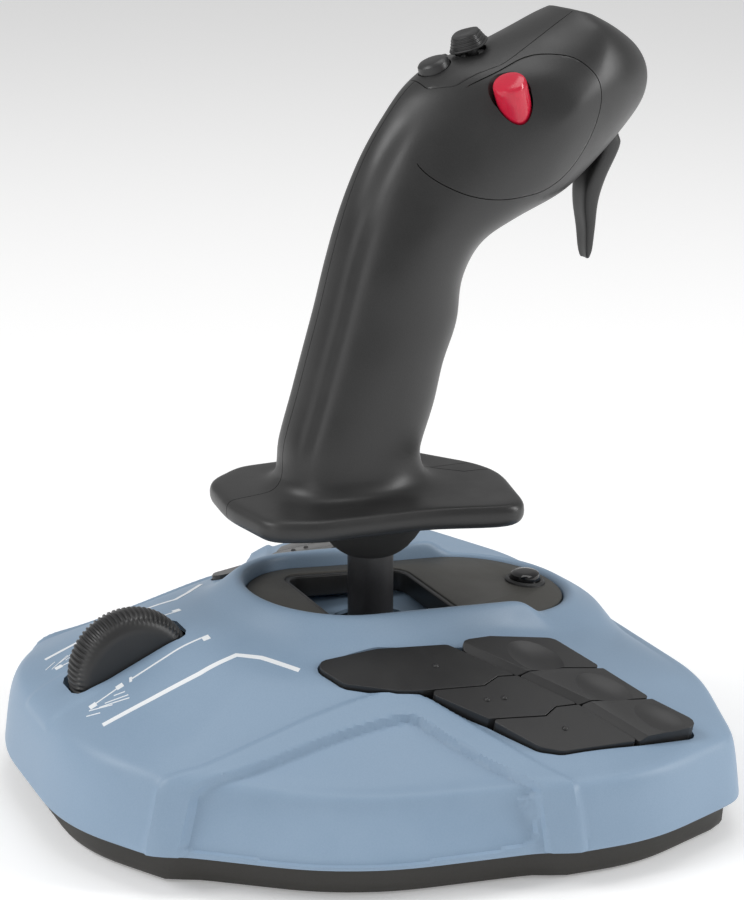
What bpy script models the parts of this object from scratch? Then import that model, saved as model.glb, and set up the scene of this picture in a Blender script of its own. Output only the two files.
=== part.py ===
"""Flight joystick: weighted base, gimbal, twisting grip, trigger, hat, buttons and throttle wheel.

Everything is drawn in millimetres from the stick's axis (x = 0, y = 0) and the table (z = 0).
+X is the user's right and the user sits on the -Y side. STICK_Y then places the stick in the
finished frame, whose origin is the middle of the base.
"""
import math

import bmesh
import bpy
from mathutils import Matrix, Vector

MM = 0.001
GAP = 0.3               # clearance between pieces that touch
SEAM = 0.3              # each piece stops this far from a visible seam line

# ---- base outline -------------------------------------------------------------------------
# Right-hand corners of the rim, (x, y, corner radius), from the front to the rear.
RIM_CORNERS = [
    (28.0, -104.7, 60.0),
    (54.4, -89.2, 4.0),
    (59.3, -80.5, 4.0),
    (86.3, -47.1, 90.0),
    (96.6, 1.2, 3.0),
    (100.9, 9.9, 3.0),
    (103.8, 32.0, 60.0),
    (94.8, 66.0, 8.0),
    (55.0, 81.5, 60.0),
]
OUTLINE_STEPS = 72      # points round the base
WALL = 2.6
FLARE = 3.0             # the shell's lower edge stands this far outside the rim
SHELL_FOOT_Z = 10.0
RIM_Z = 28.0
RIM_TOP_SIDE_Z = 29.8
RIM_TOP_FRONT_Z = 34.3
RIM_TOP_INSET = 5.0
SIDE_LEAN = 8.5          # how much further the wall leans in below the panels
SIDE_LEAN_AT = -30.0     # heading of the lean's middle, degrees from +X
SIDE_LEAN_SPREAD = 45.0
SIDE_RIM_DROP = 3.0
SIDE_SHOULDER_RISE = 2.5
SHOULDER_AT = 0.72      # share of the way from the rim to the collar's foot
SHOULDER_FRONT_Z = 48.8
SHOULDER_SIDE_Z = 40.2
SHOULDER_REAR_Z = 34.0
COLLAR_FOOT_FRONT_Z = 51.3
COLLAR_FOOT_SIDE_Z = 46.5
COLLAR_FOOT_REAR_Z = 37.5

# ---- tray and feet ------------------------------------------------------------------------
TRAY_Z = 0.6
TRAY_INSET = 2.0
TRAY_FLOOR = 3.2
FOOT_RADIUS = 8.0
FOOT_HEIGHT = 1.6
FOOT_SPOTS = [(44.0, -74.0), (72.0, 50.0)]
SCREW_SPOTS = [(24.0, -89.5), (81.0, -18.0)]
SCREW_HEAD_RADIUS = 2.8
SCREW_HEAD_HEIGHT = 1.1
SCREW_RADIUS = 1.4
SCREW_LENGTH = 11.0
BOSS_RADIUS = 3.6

# ---- collar and its plate -----------------------------------------------------------------
COLLAR_HALF_WIDTH = 28.0
COLLAR_FRONT_Y = -40.0
COLLAR_REAR_Y = 64.0
COLLAR_BAND = 10.0      # width of the collar's outer slope
CREST_Z = 53.6          # crest height beside the stick
CREST_SLOPE = -0.085
PLATE_Z = 49.0          # plate height beside the stick
PLATE_SLOPE = -0.10
PLATE_THICKNESS = 2.4
COLLAR_WALL = 2.0       # from the crest in to the plate's edge
LEDGE = 3.0
LEDGE_THICKNESS = 2.0
RIDGE_END_Y = 34.0      # behind this the crest drops to the plate
RIDGE_DROP = 7.0
WELL_HALF_WIDTH = 20.5
WELL_FRONT_Y = -21.0
WELL_REAR_Y = 21.0
WELL_CORNER = 6.0
LAMP_Y = 53.0
LAMP_RADIUS = 4.6
LAMP_RISE = 2.2

# ---- gimbal and shaft ---------------------------------------------------------------------
PIVOT_Z = 29.0
AXLE_RADIUS = 3.0
PIN_RADIUS = 2.5
POST_X = 24.0           # inner face of the gimbal frame's posts
POST_THICKNESS = 4.0
POST_TOP_Z = 38.0
FRAME_HALF_DEPTH = 10.0
FRAME_FLOOR = 2.5
YOKE_OUTER_X = 20.0
YOKE_OUTER_Y = 15.0
YOKE_BAR = 4.5
YOKE_HEIGHT = 8.0
BLOCK_HALF = 7.5
SHAFT_RADIUS = 6.8
SHAFT_TOP_Z = 92.0
STEM_RADIUS = 3.0
STEM_LENGTH = 11.0
SPRING_RADIUS = 5.2
SPRING_WIRE = 0.7
SPRING_TURNS = 4
CUP_RADIUS = 7.5
CUP_THICKNESS = 1.2
SKIRT_DEPTH = 7.0
SKIRT_WALL = 1.8
WELL_FLOOR_THICKNESS = 1.2
WELL_HOLE_RADIUS = 13.0

# ---- grip ---------------------------------------------------------------------------------
# Stations up the grip: back point (y, z), front point (y, z), half width, superellipse exponent.
GRIP_STATIONS = [
    (-27.5, 84.0, 14.0, 84.0, 17.0, 2.3),
    (-28.0, 97.0, 13.5, 94.0, 17.0, 2.3),
    (-23.3, 113.0, 18.0, 108.0, 17.5, 2.3),
    (-19.8, 125.0, 21.0, 120.0, 18.0, 2.2),
    (-16.2, 137.0, 25.3, 131.5, 18.0, 2.2),
    (-13.0, 149.0, 27.0, 144.0, 18.5, 2.1),
    (-9.6, 160.5, 33.5, 153.8, 19.0, 2.0),
    (-5.8, 171.0, 45.5, 159.5, 20.0, 1.9),
    (-1.2, 180.8, 60.5, 165.3, 22.0, 1.8),
    (4.8, 190.0, 71.5, 173.5, 24.0, 1.7),
    (11.8, 198.2, 80.5, 182.5, 25.5, 1.7),
    (20.5, 203.8, 87.0, 191.0, 25.5, 1.7),
    (32.5, 207.5, 88.0, 199.0, 23.5, 1.7),
    (44.5, 211.8, 83.5, 206.3, 20.0, 1.8),
    (54.0, 215.5, 75.0, 212.3, 15.5, 1.9),
    (60.0, 218.0, 67.0, 216.3, 9.0, 2.0),
]
GRIP_STEPS = 24
GRIP_WALL = 3.0
HEAD_ROOM = 11.0        # half width of the hollow inside the head
HOLLOW_POWER = 3.0
REST_TOP_Z = 86.0
REST_BOTTOM_Z = 78.2
# Hand rest outline, (x, y, corner radius), anticlockwise from the front middle.
REST_CORNERS = [
    (0.0, -46.0, 40.0),
    (22.5, -42.5, 8.0),
    (28.5, -30.0, 20.0),
    (32.5, 4.0, 60.0),
    (42.0, 30.0, 7.0),
    (6.0, 39.5, 25.0),
    (-22.0, 22.0, 15.0),
    (-28.0, -8.0, 30.0),
    (-28.5, -31.0, 10.0),
    (-20.0, -43.5, 10.0),
]
BOOT_TOP_RADIUS = 18.0
BOOT_BOTTOM_RADIUS = 8.5
BOOT_BOTTOM_Z = 66.0
TWIST_RING_RISE = 5.0    # above the boot's foot
TWIST_RING_WALL = 2.2

# ---- head controls ------------------------------------------------------------------------
MODULE_X = 13.5         # the side modules start this far from the middle
MODULE_CORNERS = [
    (9.0, 176.0, 9.0),
    (34.0, 155.0, 22.0),
    (66.0, 170.0, 14.0),
    (70.0, 200.0, 16.0),
    (30.0, 204.0, 18.0),
]
TOP_NORMAL = Vector((0.0, -0.36, 0.933)).normalized()
PANEL_HALF_WIDTH = 13.0
PANEL_FRONT = 18.0      # the panel reaches this far from the hat towards the user
PANEL_REAR = 36.0
PANEL_DEPTH = 4.0
HAT_FOOT = Vector((0.0, 31.5, 206.8))
HAT_BASE_RADIUS = 5.6
HAT_TOP_RADIUS = 4.6
HAT_WAIST_RADIUS = 3.9
HAT_STEM_RADIUS = 1.8
HAT_UNDERSIDE = 1.7     # room below the cap for its tilt
HAT_RIM_TOP = 2.3
HAT_WAIST_AT = 3.4
HAT_FLARE_AT = 4.6
HAT_HEIGHT = 6.0
HAT_STEM_DEPTH = 2.2    # below the pivot
HAT_ROOM_RADIUS = 4.5
HAT_PIVOT_DEPTH = 2.0
HAT_ROCKER_HALF = 1.0
HAT_SWITCH_HALF = 5.0
CENTRE_FOOT = Vector((0.0, 20.3, 202.2))
CENTRE_RADIUS = 4.6
CENTRE_RISE = 2.2
SIDE_BUTTON_FOOT = Vector((19.0, 34.3, 196.1))
SIDE_BUTTON_NORMAL = Vector((0.29, -0.41, 0.865)).normalized()
SIDE_BUTTON_RADIUS = 4.8
SIDE_BUTTON_RISE = 5.6
HEAD_BUTTON_DEPTH = 7.0
HEAD_BUTTON_TRAVEL = 1.6

# ---- trigger ------------------------------------------------------------------------------
TRIGGER_PIVOT = (0.0, 71.0, 186.5)
TRIGGER_HALF_WIDTH = 6.0
TRIGGER_CORNER = 1.2
TRIGGER_CORNER_SHARE = 0.4  # of the blade's depth, where it is thin
TRIGGER_PIN_RADIUS = 1.5
TRIGGER_SPRING_WALL = 0.8
TRIGGER_SPRING_WIDTH = 2.4
TRIGGER_SLOT_REAR_Y = 60.0
TRIGGER_SLOT_FRONT_Y = 81.3
# Levels up the trigger: (z, rear y, front y, half width).
TRIGGER_LEVELS = [
    (143.8, 70.2, 71.6, 1.8),
    (147.0, 69.4, 72.4, 2.8),
    (153.0, 68.8, 72.8, 3.5),
    (161.0, 67.6, 73.4, 4.3),
    (168.0, 68.2, 75.4, 5.2),
    (177.0, 72.2, 79.6, 6.0),
    (181.0, 70.4, 79.2, 6.0),
    (190.5, 66.5, 75.5, 6.0),
]

# ---- base buttons -------------------------------------------------------------------------
# The right-hand cluster lies in a tilted plane through CLUSTER_ANCHOR.
CLUSTER_ANCHOR = Vector((36.0, -30.0, 46.5))
CLUSTER_SLOPE_X = -0.31
CLUSTER_SLOPE_Y = 0.03
BUTTON_RISE = 1.3
BUTTON_DEPTH = 3.2
BUTTON_EDGE = 0.8
BUTTON_GAP = 0.35
BUTTON_TRAVEL = 1.2
PAD_THICKNESS = 1.4
BOARD_THICKNESS = 1.6
CLUSTER_KNOTS = {
    "tip": (35.8, -36.6),
    "tip_near": (46.6, -31.2),
    "waist": (53.6, -18.2),
    "near_1": (55.6, -11.4),
    "near_2": (71.2, 0.6),
    "near_3": (85.2, 8.6),
    "side_low": (88.6, 13.6),
    "side_high": (91.6, 36.2),
    "rear_corner": (92.8, 56.4),
    "rear_3": (79.0, 48.0),
    "rear_2": (63.8, 41.4),
    "rear_1": (48.0, 34.2),
    "far_high": (41.8, 17.0),
    "far_low": (40.4, 4.2),
    "far_tip": (36.0, -16.0),
    "mid_1": (58.0, 17.0),
    "mid_2": (73.6, 27.6),
    "jog_1_low": (59.0, 5.9),
    "jog_1_high": (56.8, 11.4),
    "jog_2_low": (74.9, 16.3),
    "jog_2_high": (72.6, 20.9),
    "rise_1": (60.2, 30.2),
    "rise_2": (75.8, 35.4),
}
CLUSTER_BUTTONS = {
    "near_front": ["tip", "tip_near", "waist", "near_1", "jog_1_low", "jog_1_high", "mid_1", "far_low",
                   "far_tip"],
    "near_middle": ["near_1", "near_2", "jog_2_low", "jog_2_high", "mid_2", "mid_1", "jog_1_high",
                    "jog_1_low"],
    "near_rear": ["near_2", "near_3", "side_low", "side_high", "mid_2", "jog_2_high", "jog_2_low"],
    "far_front": ["far_low", "mid_1", "rise_1", "rear_2", "rear_1", "far_high"],
    "far_middle": ["mid_1", "mid_2", "rise_2", "rear_3", "rear_2", "rise_1"],
    "far_rear": ["mid_2", "side_high", "rear_corner", "rear_3", "rise_2"],
}
CLUSTER_EDGE = ["tip", "tip_near", "waist", "near_1", "near_2", "near_3", "side_low", "side_high",
                "rear_corner", "rear_3", "rear_2", "rear_1", "far_high", "far_low", "far_tip"]

# ---- inside the base ----------------------------------------------------------------------
WEIGHT_HALF = 52.0
WEIGHT_FRONT_Y = -54.0
WEIGHT_REAR_Y = -20.0
WEIGHT_HEIGHT = 8.0
BOARD_HALF = 30.0
BOARD_FRONT_Y = 28.0
BOARD_REAR_Y = 66.0
GLAND_RADIUS = 5.0
GLAND_BORE = 2.4
GLAND_Y = 82.5
GLAND_Z = 18.0

# ---- throttle -----------------------------------------------------------------------------
THROTTLE_CENTRE = (0.0, -76.1, 39.4)
THROTTLE_RADIUS = 18.0
THROTTLE_HALF_WIDTH = 6.3
THROTTLE_STEPS = 40
THROTTLE_CLEARANCE = 0.9
THROTTLE_AXLE_RADIUS = 1.5
THROTTLE_AXLE_HALF = 13.0
CHEEK_X = 7.6
CHEEK_THICKNESS = 2.4
CHEEK_FLOOR = 2.5
CHEEK_HALF_DEPTH = 4.5

# ---- materials, (red, green, blue), roughness, metallic ------------------------------------
FINISHES = {
    "blue_shell": ((0.24, 0.35, 0.48), 0.45, 0.0),
    "dark_tray": ((0.035, 0.034, 0.030), 0.55, 0.0),
    "grey_plate": ((0.10, 0.10, 0.085), 0.55, 0.0),
    "black_grip": ((0.022, 0.022, 0.022), 0.5, 0.0),
    "black_button": ((0.028, 0.028, 0.029), 0.45, 0.0),
    "red_button": ((0.60, 0.02, 0.045), 0.22, 0.0),
    "lamp": ((0.01, 0.01, 0.012), 0.12, 0.0),
    "steel": ((0.55, 0.55, 0.55), 0.35, 1.0),
    "rubber": ((0.02, 0.02, 0.02), 0.85, 0.0),
    "board": ((0.02, 0.13, 0.06), 0.45, 0.0),
    "nylon": ((0.08, 0.08, 0.08), 0.6, 0.0),
}

# The finished frame's origin lies under the middle of the whole object.
BASE_FRONT_Y = RIM_CORNERS[0][1] - FLARE
HEAD_REACH_Y = max(station[2] for station in GRIP_STATIONS)
STICK_Y = -(BASE_FRONT_Y + HEAD_REACH_Y) / 2


# ---- small tools --------------------------------------------------------------------------
def finish_material(name):
    """The Principled material of that name, made once."""
    found = bpy.data.materials.get(name)
    if found:
        return found
    colour, roughness, metallic = FINISHES[name]
    made = bpy.data.materials.new(name)
    made.use_nodes = True
    shader = made.node_tree.nodes["Principled BSDF"]
    shader.inputs["Base Color"].default_value = (*colour, 1.0)
    shader.inputs["Roughness"].default_value = roughness
    shader.inputs["Metallic"].default_value = metallic
    made.diffuse_color = (*colour, 1.0)
    return made


def make_object(name, bm, finish, pivot=(0.0, 0.0, 0.0)):
    """Turn a mesh drawn in millimetres into an object whose origin is the pivot."""
    bmesh.ops.recalc_face_normals(bm, faces=bm.faces)
    bmesh.ops.translate(bm, verts=bm.verts, vec=-Vector(pivot))
    bmesh.ops.scale(bm, verts=bm.verts, vec=(MM, MM, MM))
    mesh = bpy.data.meshes.new(name)
    bm.to_mesh(mesh)
    bm.free()
    mesh.shade_smooth()
    mesh.set_sharp_from_angle(angle=math.radians(35))
    mesh.materials.append(finish_material(finish))
    made = bpy.data.objects.new(name, mesh)
    made.location = (Vector(pivot) + Vector((0.0, STICK_Y, 0.0))) * MM
    bpy.context.scene.collection.objects.link(made)
    return made


def make_guide(name, bm):
    """A cutter, or a shape to be joined to another; it isn't a piece itself."""
    guide = make_object("guide_" + name, bm, "nylon")
    guide.hide_render = True
    guide.display_type = "WIRE"
    return guide


def combine(target, guide, operation="DIFFERENCE"):
    modifier = target.modifiers.new(guide.name[:50], "BOOLEAN")
    modifier.object = guide
    modifier.operation = operation
    modifier.solver = "EXACT"


def add_loft(bm, rings, caps=True, close=False):
    """Skin a list of rings that have the same number of points."""
    loops = [[bm.verts.new(point) for point in ring] for ring in rings]
    pairs = list(zip(loops, loops[1:]))
    if close:
        pairs.append((loops[-1], loops[0]))
    for lower, upper in pairs:
        count = len(lower)
        for i in range(count):
            j = (i + 1) % count
            bm.faces.new((lower[i], lower[j], upper[j], upper[i]))
    if caps and not close:
        bm.faces.new(list(reversed(loops[0])))
        bm.faces.new(loops[-1])
    return bm


def loft(rings, caps=True, close=False):
    return add_loft(bmesh.new(), rings, caps, close)


def add_box(bm, low, high):
    (x0, y0, z0), (x1, y1, z1) = low, high
    ring = [(x0, y0), (x1, y0), (x1, y1), (x0, y1)]
    return add_loft(bm, [[(x, y, z) for x, y in ring] for z in (z0, z1)])


def box(low, high):
    return add_box(bmesh.new(), low, high)


def frame_of(foot, normal):
    """A matrix whose Z runs along the normal from the foot."""
    return Matrix.Translation(foot) @ normal.to_track_quat("Z", "Y").to_matrix().to_4x4()


def add_turned(bm, profile, matrix=Matrix.Identity(4), steps=16, close=False):
    """A turned solid from (radius, height) pairs; close it for a ring with a bore."""
    angles = [2 * math.pi * (i + 0.5) / steps for i in range(steps)]
    rings = [[matrix @ Vector((r * math.cos(a), r * math.sin(a), h)) for a in angles]
             for r, h in profile]
    return add_loft(bm, rings, close=close)


def turned(profile, matrix=Matrix.Identity(4), steps=16, close=False):
    return add_turned(bmesh.new(), profile, matrix, steps, close)


def upright(x, y, z=0.0):
    return Matrix.Translation((x, y, z))


def along_x(centre):
    return Matrix.Translation(centre) @ Matrix.Rotation(math.radians(90), 4, "Y")


def along_y(centre):
    return Matrix.Translation(centre) @ Matrix.Rotation(math.radians(-90), 4, "X")


def rounded(corners, steps=3):
    """A closed outline from (x, y, radius) corners, each rounded by an arc that fits its sides."""
    outline = []
    count = len(corners)
    for i, (x, y, radius) in enumerate(corners):
        here = Vector((x, y))
        back = Vector(corners[i - 1][:2]) - here
        on = Vector(corners[(i + 1) % count][:2]) - here
        half_angle = back.angle(on) / 2
        reach = min(radius / math.tan(half_angle), 0.48 * back.length, 0.48 * on.length)
        start = here + back.normalized() * reach
        end = here + on.normalized() * reach
        for k in range(steps + 1):
            t = k / steps
            outline.append((1 - t) ** 2 * start + 2 * t * (1 - t) * here + t ** 2 * end)
    return outline


def mirrored(corners):
    """Right-hand corners, then the same ones on the left."""
    return list(corners) + [(-x, y, radius) for x, y, radius in reversed(corners)]


def offset_outline(outline, distance):
    """Move each side of an anticlockwise outline outwards by the distance."""
    count = len(outline)
    moved = []
    for i in range(count):
        here = Vector(outline[i])
        before = (here - Vector(outline[i - 1])).normalized()
        after = (Vector(outline[(i + 1) % count]) - here).normalized()
        out_before = Vector((before.y, -before.x))
        out_after = Vector((after.y, -after.x))
        spread = max(1.0 + out_before.dot(out_after), 0.3)
        moved.append(here + (out_before + out_after) * distance / spread)
    return moved


def radius_at(outline, angle):
    """How far an outline round the stick's axis lies in that direction."""
    heading = Vector((math.cos(angle), math.sin(angle)))
    best = 0.0
    for i, point in enumerate(outline):
        a = Vector(outline[i - 1])
        side = Vector(point) - a
        across = heading.x * side.y - heading.y * side.x
        if abs(across) < 1e-9:
            continue
        reach = (a.x * side.y - a.y * side.x) / across
        share = (a.x * heading.y - a.y * heading.x) / across
        if reach > 0 and -1e-6 <= share <= 1 + 1e-6:
            best = max(best, reach)
    return best


def by_heading(angle, front, side, rear):
    """A value that runs smoothly from the front through the sides to the rear."""
    if math.sin(angle) < 0:
        return side + (front - side) * math.sin(angle) ** 4
    return side + (rear - side) * math.sin(angle) ** 2


# ---- the base's skin ----------------------------------------------------------------------
HEADINGS = [math.radians(-90) + 2 * math.pi * i / OUTLINE_STEPS for i in range(OUTLINE_STEPS)]
RIM = rounded(mirrored(RIM_CORNERS))
COLLAR = rounded(mirrored([
    (COLLAR_HALF_WIDTH, COLLAR_FRONT_Y, COLLAR_HALF_WIDTH),
    (COLLAR_HALF_WIDTH, COLLAR_REAR_Y, COLLAR_HALF_WIDTH),
]), steps=8)
WELL = rounded(mirrored([
    (WELL_HALF_WIDTH, WELL_FRONT_Y, WELL_CORNER),
    (WELL_HALF_WIDTH, WELL_REAR_Y, WELL_CORNER),
]))


def plate_z(y):
    return PLATE_Z + PLATE_SLOPE * y


def crest_z(y):
    drop = min(max((y - RIDGE_END_Y) / RIDGE_DROP, 0.0), 1.0)
    return (CREST_Z + CREST_SLOPE * y) * (1 - drop) + (plate_z(y) + 0.8) * drop


def ledge_z(y):
    return plate_z(y) - PLATE_THICKNESS - GAP


def rings_round_axis(profile_at):
    """Rings from a function that gives each heading's list of (radius, height) pairs."""
    profiles = [profile_at(angle) for angle in HEADINGS]
    return [[(r * math.cos(a), r * math.sin(a), z)
             for a, (r, z) in zip(HEADINGS, (profile[k] for profile in profiles))]
            for k in range(len(profiles[0]))]


def side_share(angle):
    """How far a heading lies within the leaning part of the side wall, 0 to 1."""
    turn = math.degrees(math.asin(math.sin(angle)))
    away = min(abs(turn - SIDE_LEAN_AT) / SIDE_LEAN_SPREAD, 1.0)
    return math.cos(math.radians(90) * away) ** 2


def shell_profile(angle):
    outline = radius_at(RIM, angle)
    lean = side_share(angle)
    rim = outline - SIDE_LEAN * lean
    rim_z = RIM_Z - SIDE_RIM_DROP * lean
    collar = radius_at(COLLAR, angle)
    y = collar * math.sin(angle)
    foot = collar + COLLAR_BAND
    inside = collar - COLLAR_WALL
    outer_ledge = ledge_z(inside * math.sin(angle))
    inner_ledge = ledge_z((inside - LEDGE) * math.sin(angle))
    rim_top = by_heading(angle, RIM_TOP_FRONT_Z, RIM_TOP_SIDE_Z, RIM_TOP_SIDE_Z) - SIDE_RIM_DROP * lean
    shoulder = rim + (foot - rim) * SHOULDER_AT
    shoulder_z = by_heading(angle, SHOULDER_FRONT_Z, SHOULDER_SIDE_Z, SHOULDER_REAR_Z)
    shoulder_z += SIDE_SHOULDER_RISE * lean
    foot_z = by_heading(angle, COLLAR_FOOT_FRONT_Z, COLLAR_FOOT_SIDE_Z, COLLAR_FOOT_REAR_Z)
    return [
        (outline + FLARE, SHELL_FOOT_Z),
        (rim + 1.0, rim_z - 4.0),
        (rim, rim_z),
        (rim - 1.5, rim_z + 0.65 * (rim_top - rim_z)),
        (rim - RIM_TOP_INSET, rim_top),
        (shoulder, shoulder_z),
        (foot, foot_z),
        (collar + 2.5, crest_z(y) - 1.0),
        (collar, crest_z(y)),
        (inside, crest_z(y) - 0.5),
        (inside, outer_ledge),
        (inside - LEDGE, inner_ledge),
        (inside - LEDGE, inner_ledge - LEDGE_THICKNESS),
        (collar + 1.0, outer_ledge - LEDGE_THICKNESS),
        (foot, foot_z - WALL),
        (shoulder, shoulder_z - WALL),
        (rim - RIM_TOP_INSET, rim_top - WALL),
        (rim + 1.0 - WALL, rim_z - 4.0),
        (outline + FLARE - WALL, SHELL_FOOT_Z),
    ]


def skin_z(x, y):
    """Height of the shell's sloping top between its rim and its collar."""
    slope = shell_profile(math.atan2(y, x))[4:7]
    reach = math.hypot(x, y)
    for (outer, outer_z), (inner, inner_z) in zip(slope, slope[1:]):
        if reach >= inner:
            break
    return outer_z + (inner_z - outer_z) * (outer - reach) / (outer - inner)


def tray_profile(angle):
    rim = radius_at(RIM, angle)
    top = SHELL_FOOT_Z - GAP
    return [
        (rim - TRAY_INSET - 2.0, TRAY_Z),
        (rim - TRAY_INSET, TRAY_Z + 1.6),
        (rim - 1.0, top),
        (rim - 3.6, top),
        (rim - TRAY_INSET - 2.4, TRAY_Z + TRAY_FLOOR),
    ]


def plate_profile(angle):
    outer = radius_at(COLLAR, angle) - COLLAR_WALL - GAP
    inner = radius_at(WELL, angle)
    y_out = outer * math.sin(angle)
    y_in = inner * math.sin(angle)
    under = inner + SKIRT_WALL
    return [
        (outer, plate_z(y_out)),
        (inner, plate_z(y_in)),
        (inner, plate_z(y_in) - SKIRT_DEPTH),
        (under, plate_z(y_in) - SKIRT_DEPTH),
        (under, plate_z(y_in) - PLATE_THICKNESS),
        (outer, plate_z(y_out) - PLATE_THICKNESS),
    ]


def both_sides(spots):
    return [(side * x, y) for x, y in spots for side in (1, -1)]


def side_name(side):
    return "right" if side > 0 else "left"


# ---- base buttons -------------------------------------------------------------------------
CLUSTER_NORMAL = Vector((-CLUSTER_SLOPE_X, -CLUSTER_SLOPE_Y, 1.0)).normalized()


def cluster_point(spot, height, side):
    """A point over the plan position, that far along the cluster's normal."""
    x, y = spot
    z = (CLUSTER_ANCHOR.z + CLUSTER_SLOPE_X * (x - CLUSTER_ANCHOR.x)
         + CLUSTER_SLOPE_Y * (y - CLUSTER_ANCHOR.y))
    point = Vector((x, y, z)) + CLUSTER_NORMAL * height
    return Vector((side * point.x, point.y, point.z))


def cluster_slab(outline, low, high, side, edge=0.0):
    rings = [[cluster_point(p, low, side) for p in outline],
             [cluster_point(p, high - edge, side) for p in outline]]
    if edge:
        rings.append([cluster_point(p, high, side) for p in offset_outline(outline, -edge)])
    return loft(rings)


def build_clusters(shell):
    edge = [CLUSTER_KNOTS[name] for name in CLUSTER_EDGE]
    pad_top = -(BUTTON_DEPTH + BUTTON_TRAVEL + GAP)
    pad_low = pad_top - PAD_THICKNESS
    board_top = pad_low - GAP
    board_low = board_top - BOARD_THICKNESS
    pad_outline = offset_outline(edge, -1.2)
    for side in (1, -1):
        hand = side_name(side)
        opening = make_guide("cluster_opening_" + hand,
                             cluster_slab(offset_outline(edge, BUTTON_GAP), board_low - 1.0, 9.0, side))
        combine(shell, opening)
        for name, knots in CLUSTER_BUTTONS.items():
            outline = offset_outline([CLUSTER_KNOTS[knot] for knot in knots], -BUTTON_GAP / 2)
            middle = sum((Vector(p) for p in outline), Vector((0.0, 0.0))) / len(outline)
            make_object(f"{hand}_{name}_button",
                        cluster_slab(outline, -BUTTON_DEPTH, BUTTON_RISE, side, BUTTON_EDGE),
                        "black_button", cluster_point(middle, 0.0, side))
        make_object("button_pad_" + hand, cluster_slab(pad_outline, pad_low, pad_top, side), "rubber")
        make_object("button_board_" + hand, cluster_slab(pad_outline, board_low, board_top, side), "board")


# ---- base ---------------------------------------------------------------------------------
def build_shell():
    shell = make_object("base_shell", loft(rings_round_axis(shell_profile), close=True), "blue_shell")
    bosses = bmesh.new()
    holes = bmesh.new()
    for x, y in both_sides(SCREW_SPOTS):
        boss_low = TRAY_Z + TRAY_FLOOR + GAP
        boss_top = skin_z(x, y) - WALL / 2
        add_turned(bosses, [(BOSS_RADIUS, boss_low), (BOSS_RADIUS, boss_top)], upright(x, y), 12)
        add_turned(holes, [(SCREW_RADIUS + GAP, 0.0), (SCREW_RADIUS + GAP, TRAY_Z + SCREW_LENGTH + 3.0)],
                   upright(x, y), 10)
    combine(shell, make_guide("bosses", bosses), "UNION")
    combine(shell, make_guide("boss_holes", holes))
    gland = make_guide("gland_hole", turned([(GLAND_RADIUS + GAP, -6.0), (GLAND_RADIUS + GAP, 10.0)],
                                            along_y((0.0, GLAND_Y, GLAND_Z)), 16))
    combine(shell, gland)
    wheel_room = THROTTLE_RADIUS + THROTTLE_CLEARANCE
    slot = turned([(wheel_room, -THROTTLE_HALF_WIDTH - THROTTLE_CLEARANCE),
                   (wheel_room, THROTTLE_HALF_WIDTH + THROTTLE_CLEARANCE)],
                  along_x(THROTTLE_CENTRE), THROTTLE_STEPS)
    combine(shell, make_guide("throttle_slot", slot))
    return shell


def build_tray():
    tray = make_object("base_tray", loft(rings_round_axis(tray_profile)), "dark_tray")
    holes = bmesh.new()
    sink = TRAY_Z + SCREW_HEAD_HEIGHT + 2 * GAP
    for x, y in both_sides(SCREW_SPOTS):
        add_turned(holes, [(SCREW_HEAD_RADIUS + GAP, 0.0), (SCREW_HEAD_RADIUS + GAP, sink),
                           (SCREW_RADIUS + GAP, sink), (SCREW_RADIUS + GAP, TRAY_Z + 20.0)],
                   upright(x, y), 12)
    for x, y in both_sides(FOOT_SPOTS):
        add_turned(holes, [(FOOT_RADIUS + GAP, -1.0), (FOOT_RADIUS + GAP, FOOT_HEIGHT + GAP)],
                   upright(x, y), 20)
    combine(tray, make_guide("tray_holes", holes))
    names = ["front_right", "front_left", "rear_right", "rear_left"]
    for name, (x, y) in zip(names, both_sides(FOOT_SPOTS)):
        make_object("foot_" + name,
                    turned([(FOOT_RADIUS - 0.5, 0.0), (FOOT_RADIUS, 0.5), (FOOT_RADIUS, FOOT_HEIGHT)],
                           upright(x, y), 20), "rubber")
    for name, (x, y) in zip(names, both_sides(SCREW_SPOTS)):
        head_low = TRAY_Z + GAP
        head_top = head_low + SCREW_HEAD_HEIGHT
        make_object("screw_" + name,
                    turned([(SCREW_HEAD_RADIUS, head_low), (SCREW_HEAD_RADIUS, head_top),
                            (SCREW_RADIUS, head_top), (SCREW_RADIUS, TRAY_Z + SCREW_LENGTH)],
                           upright(x, y), 10), "steel")


def build_base_inside():
    floor = TRAY_Z + TRAY_FLOOR + GAP
    make_object("weight_plate", box((-WEIGHT_HALF, WEIGHT_FRONT_Y, floor),
                                    (WEIGHT_HALF, WEIGHT_REAR_Y, floor + WEIGHT_HEIGHT)), "steel")
    make_object("main_board", box((-BOARD_HALF, BOARD_FRONT_Y, floor),
                                  (BOARD_HALF, BOARD_REAR_Y, floor + BOARD_THICKNESS)), "board")
    make_object("cable_gland",
                turned([(GLAND_RADIUS, -4.0), (GLAND_RADIUS, 1.0), (GLAND_BORE, 1.0), (GLAND_BORE, -4.0)],
                       along_y((0.0, GLAND_Y, GLAND_Z)), 16, close=True), "rubber")


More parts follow.
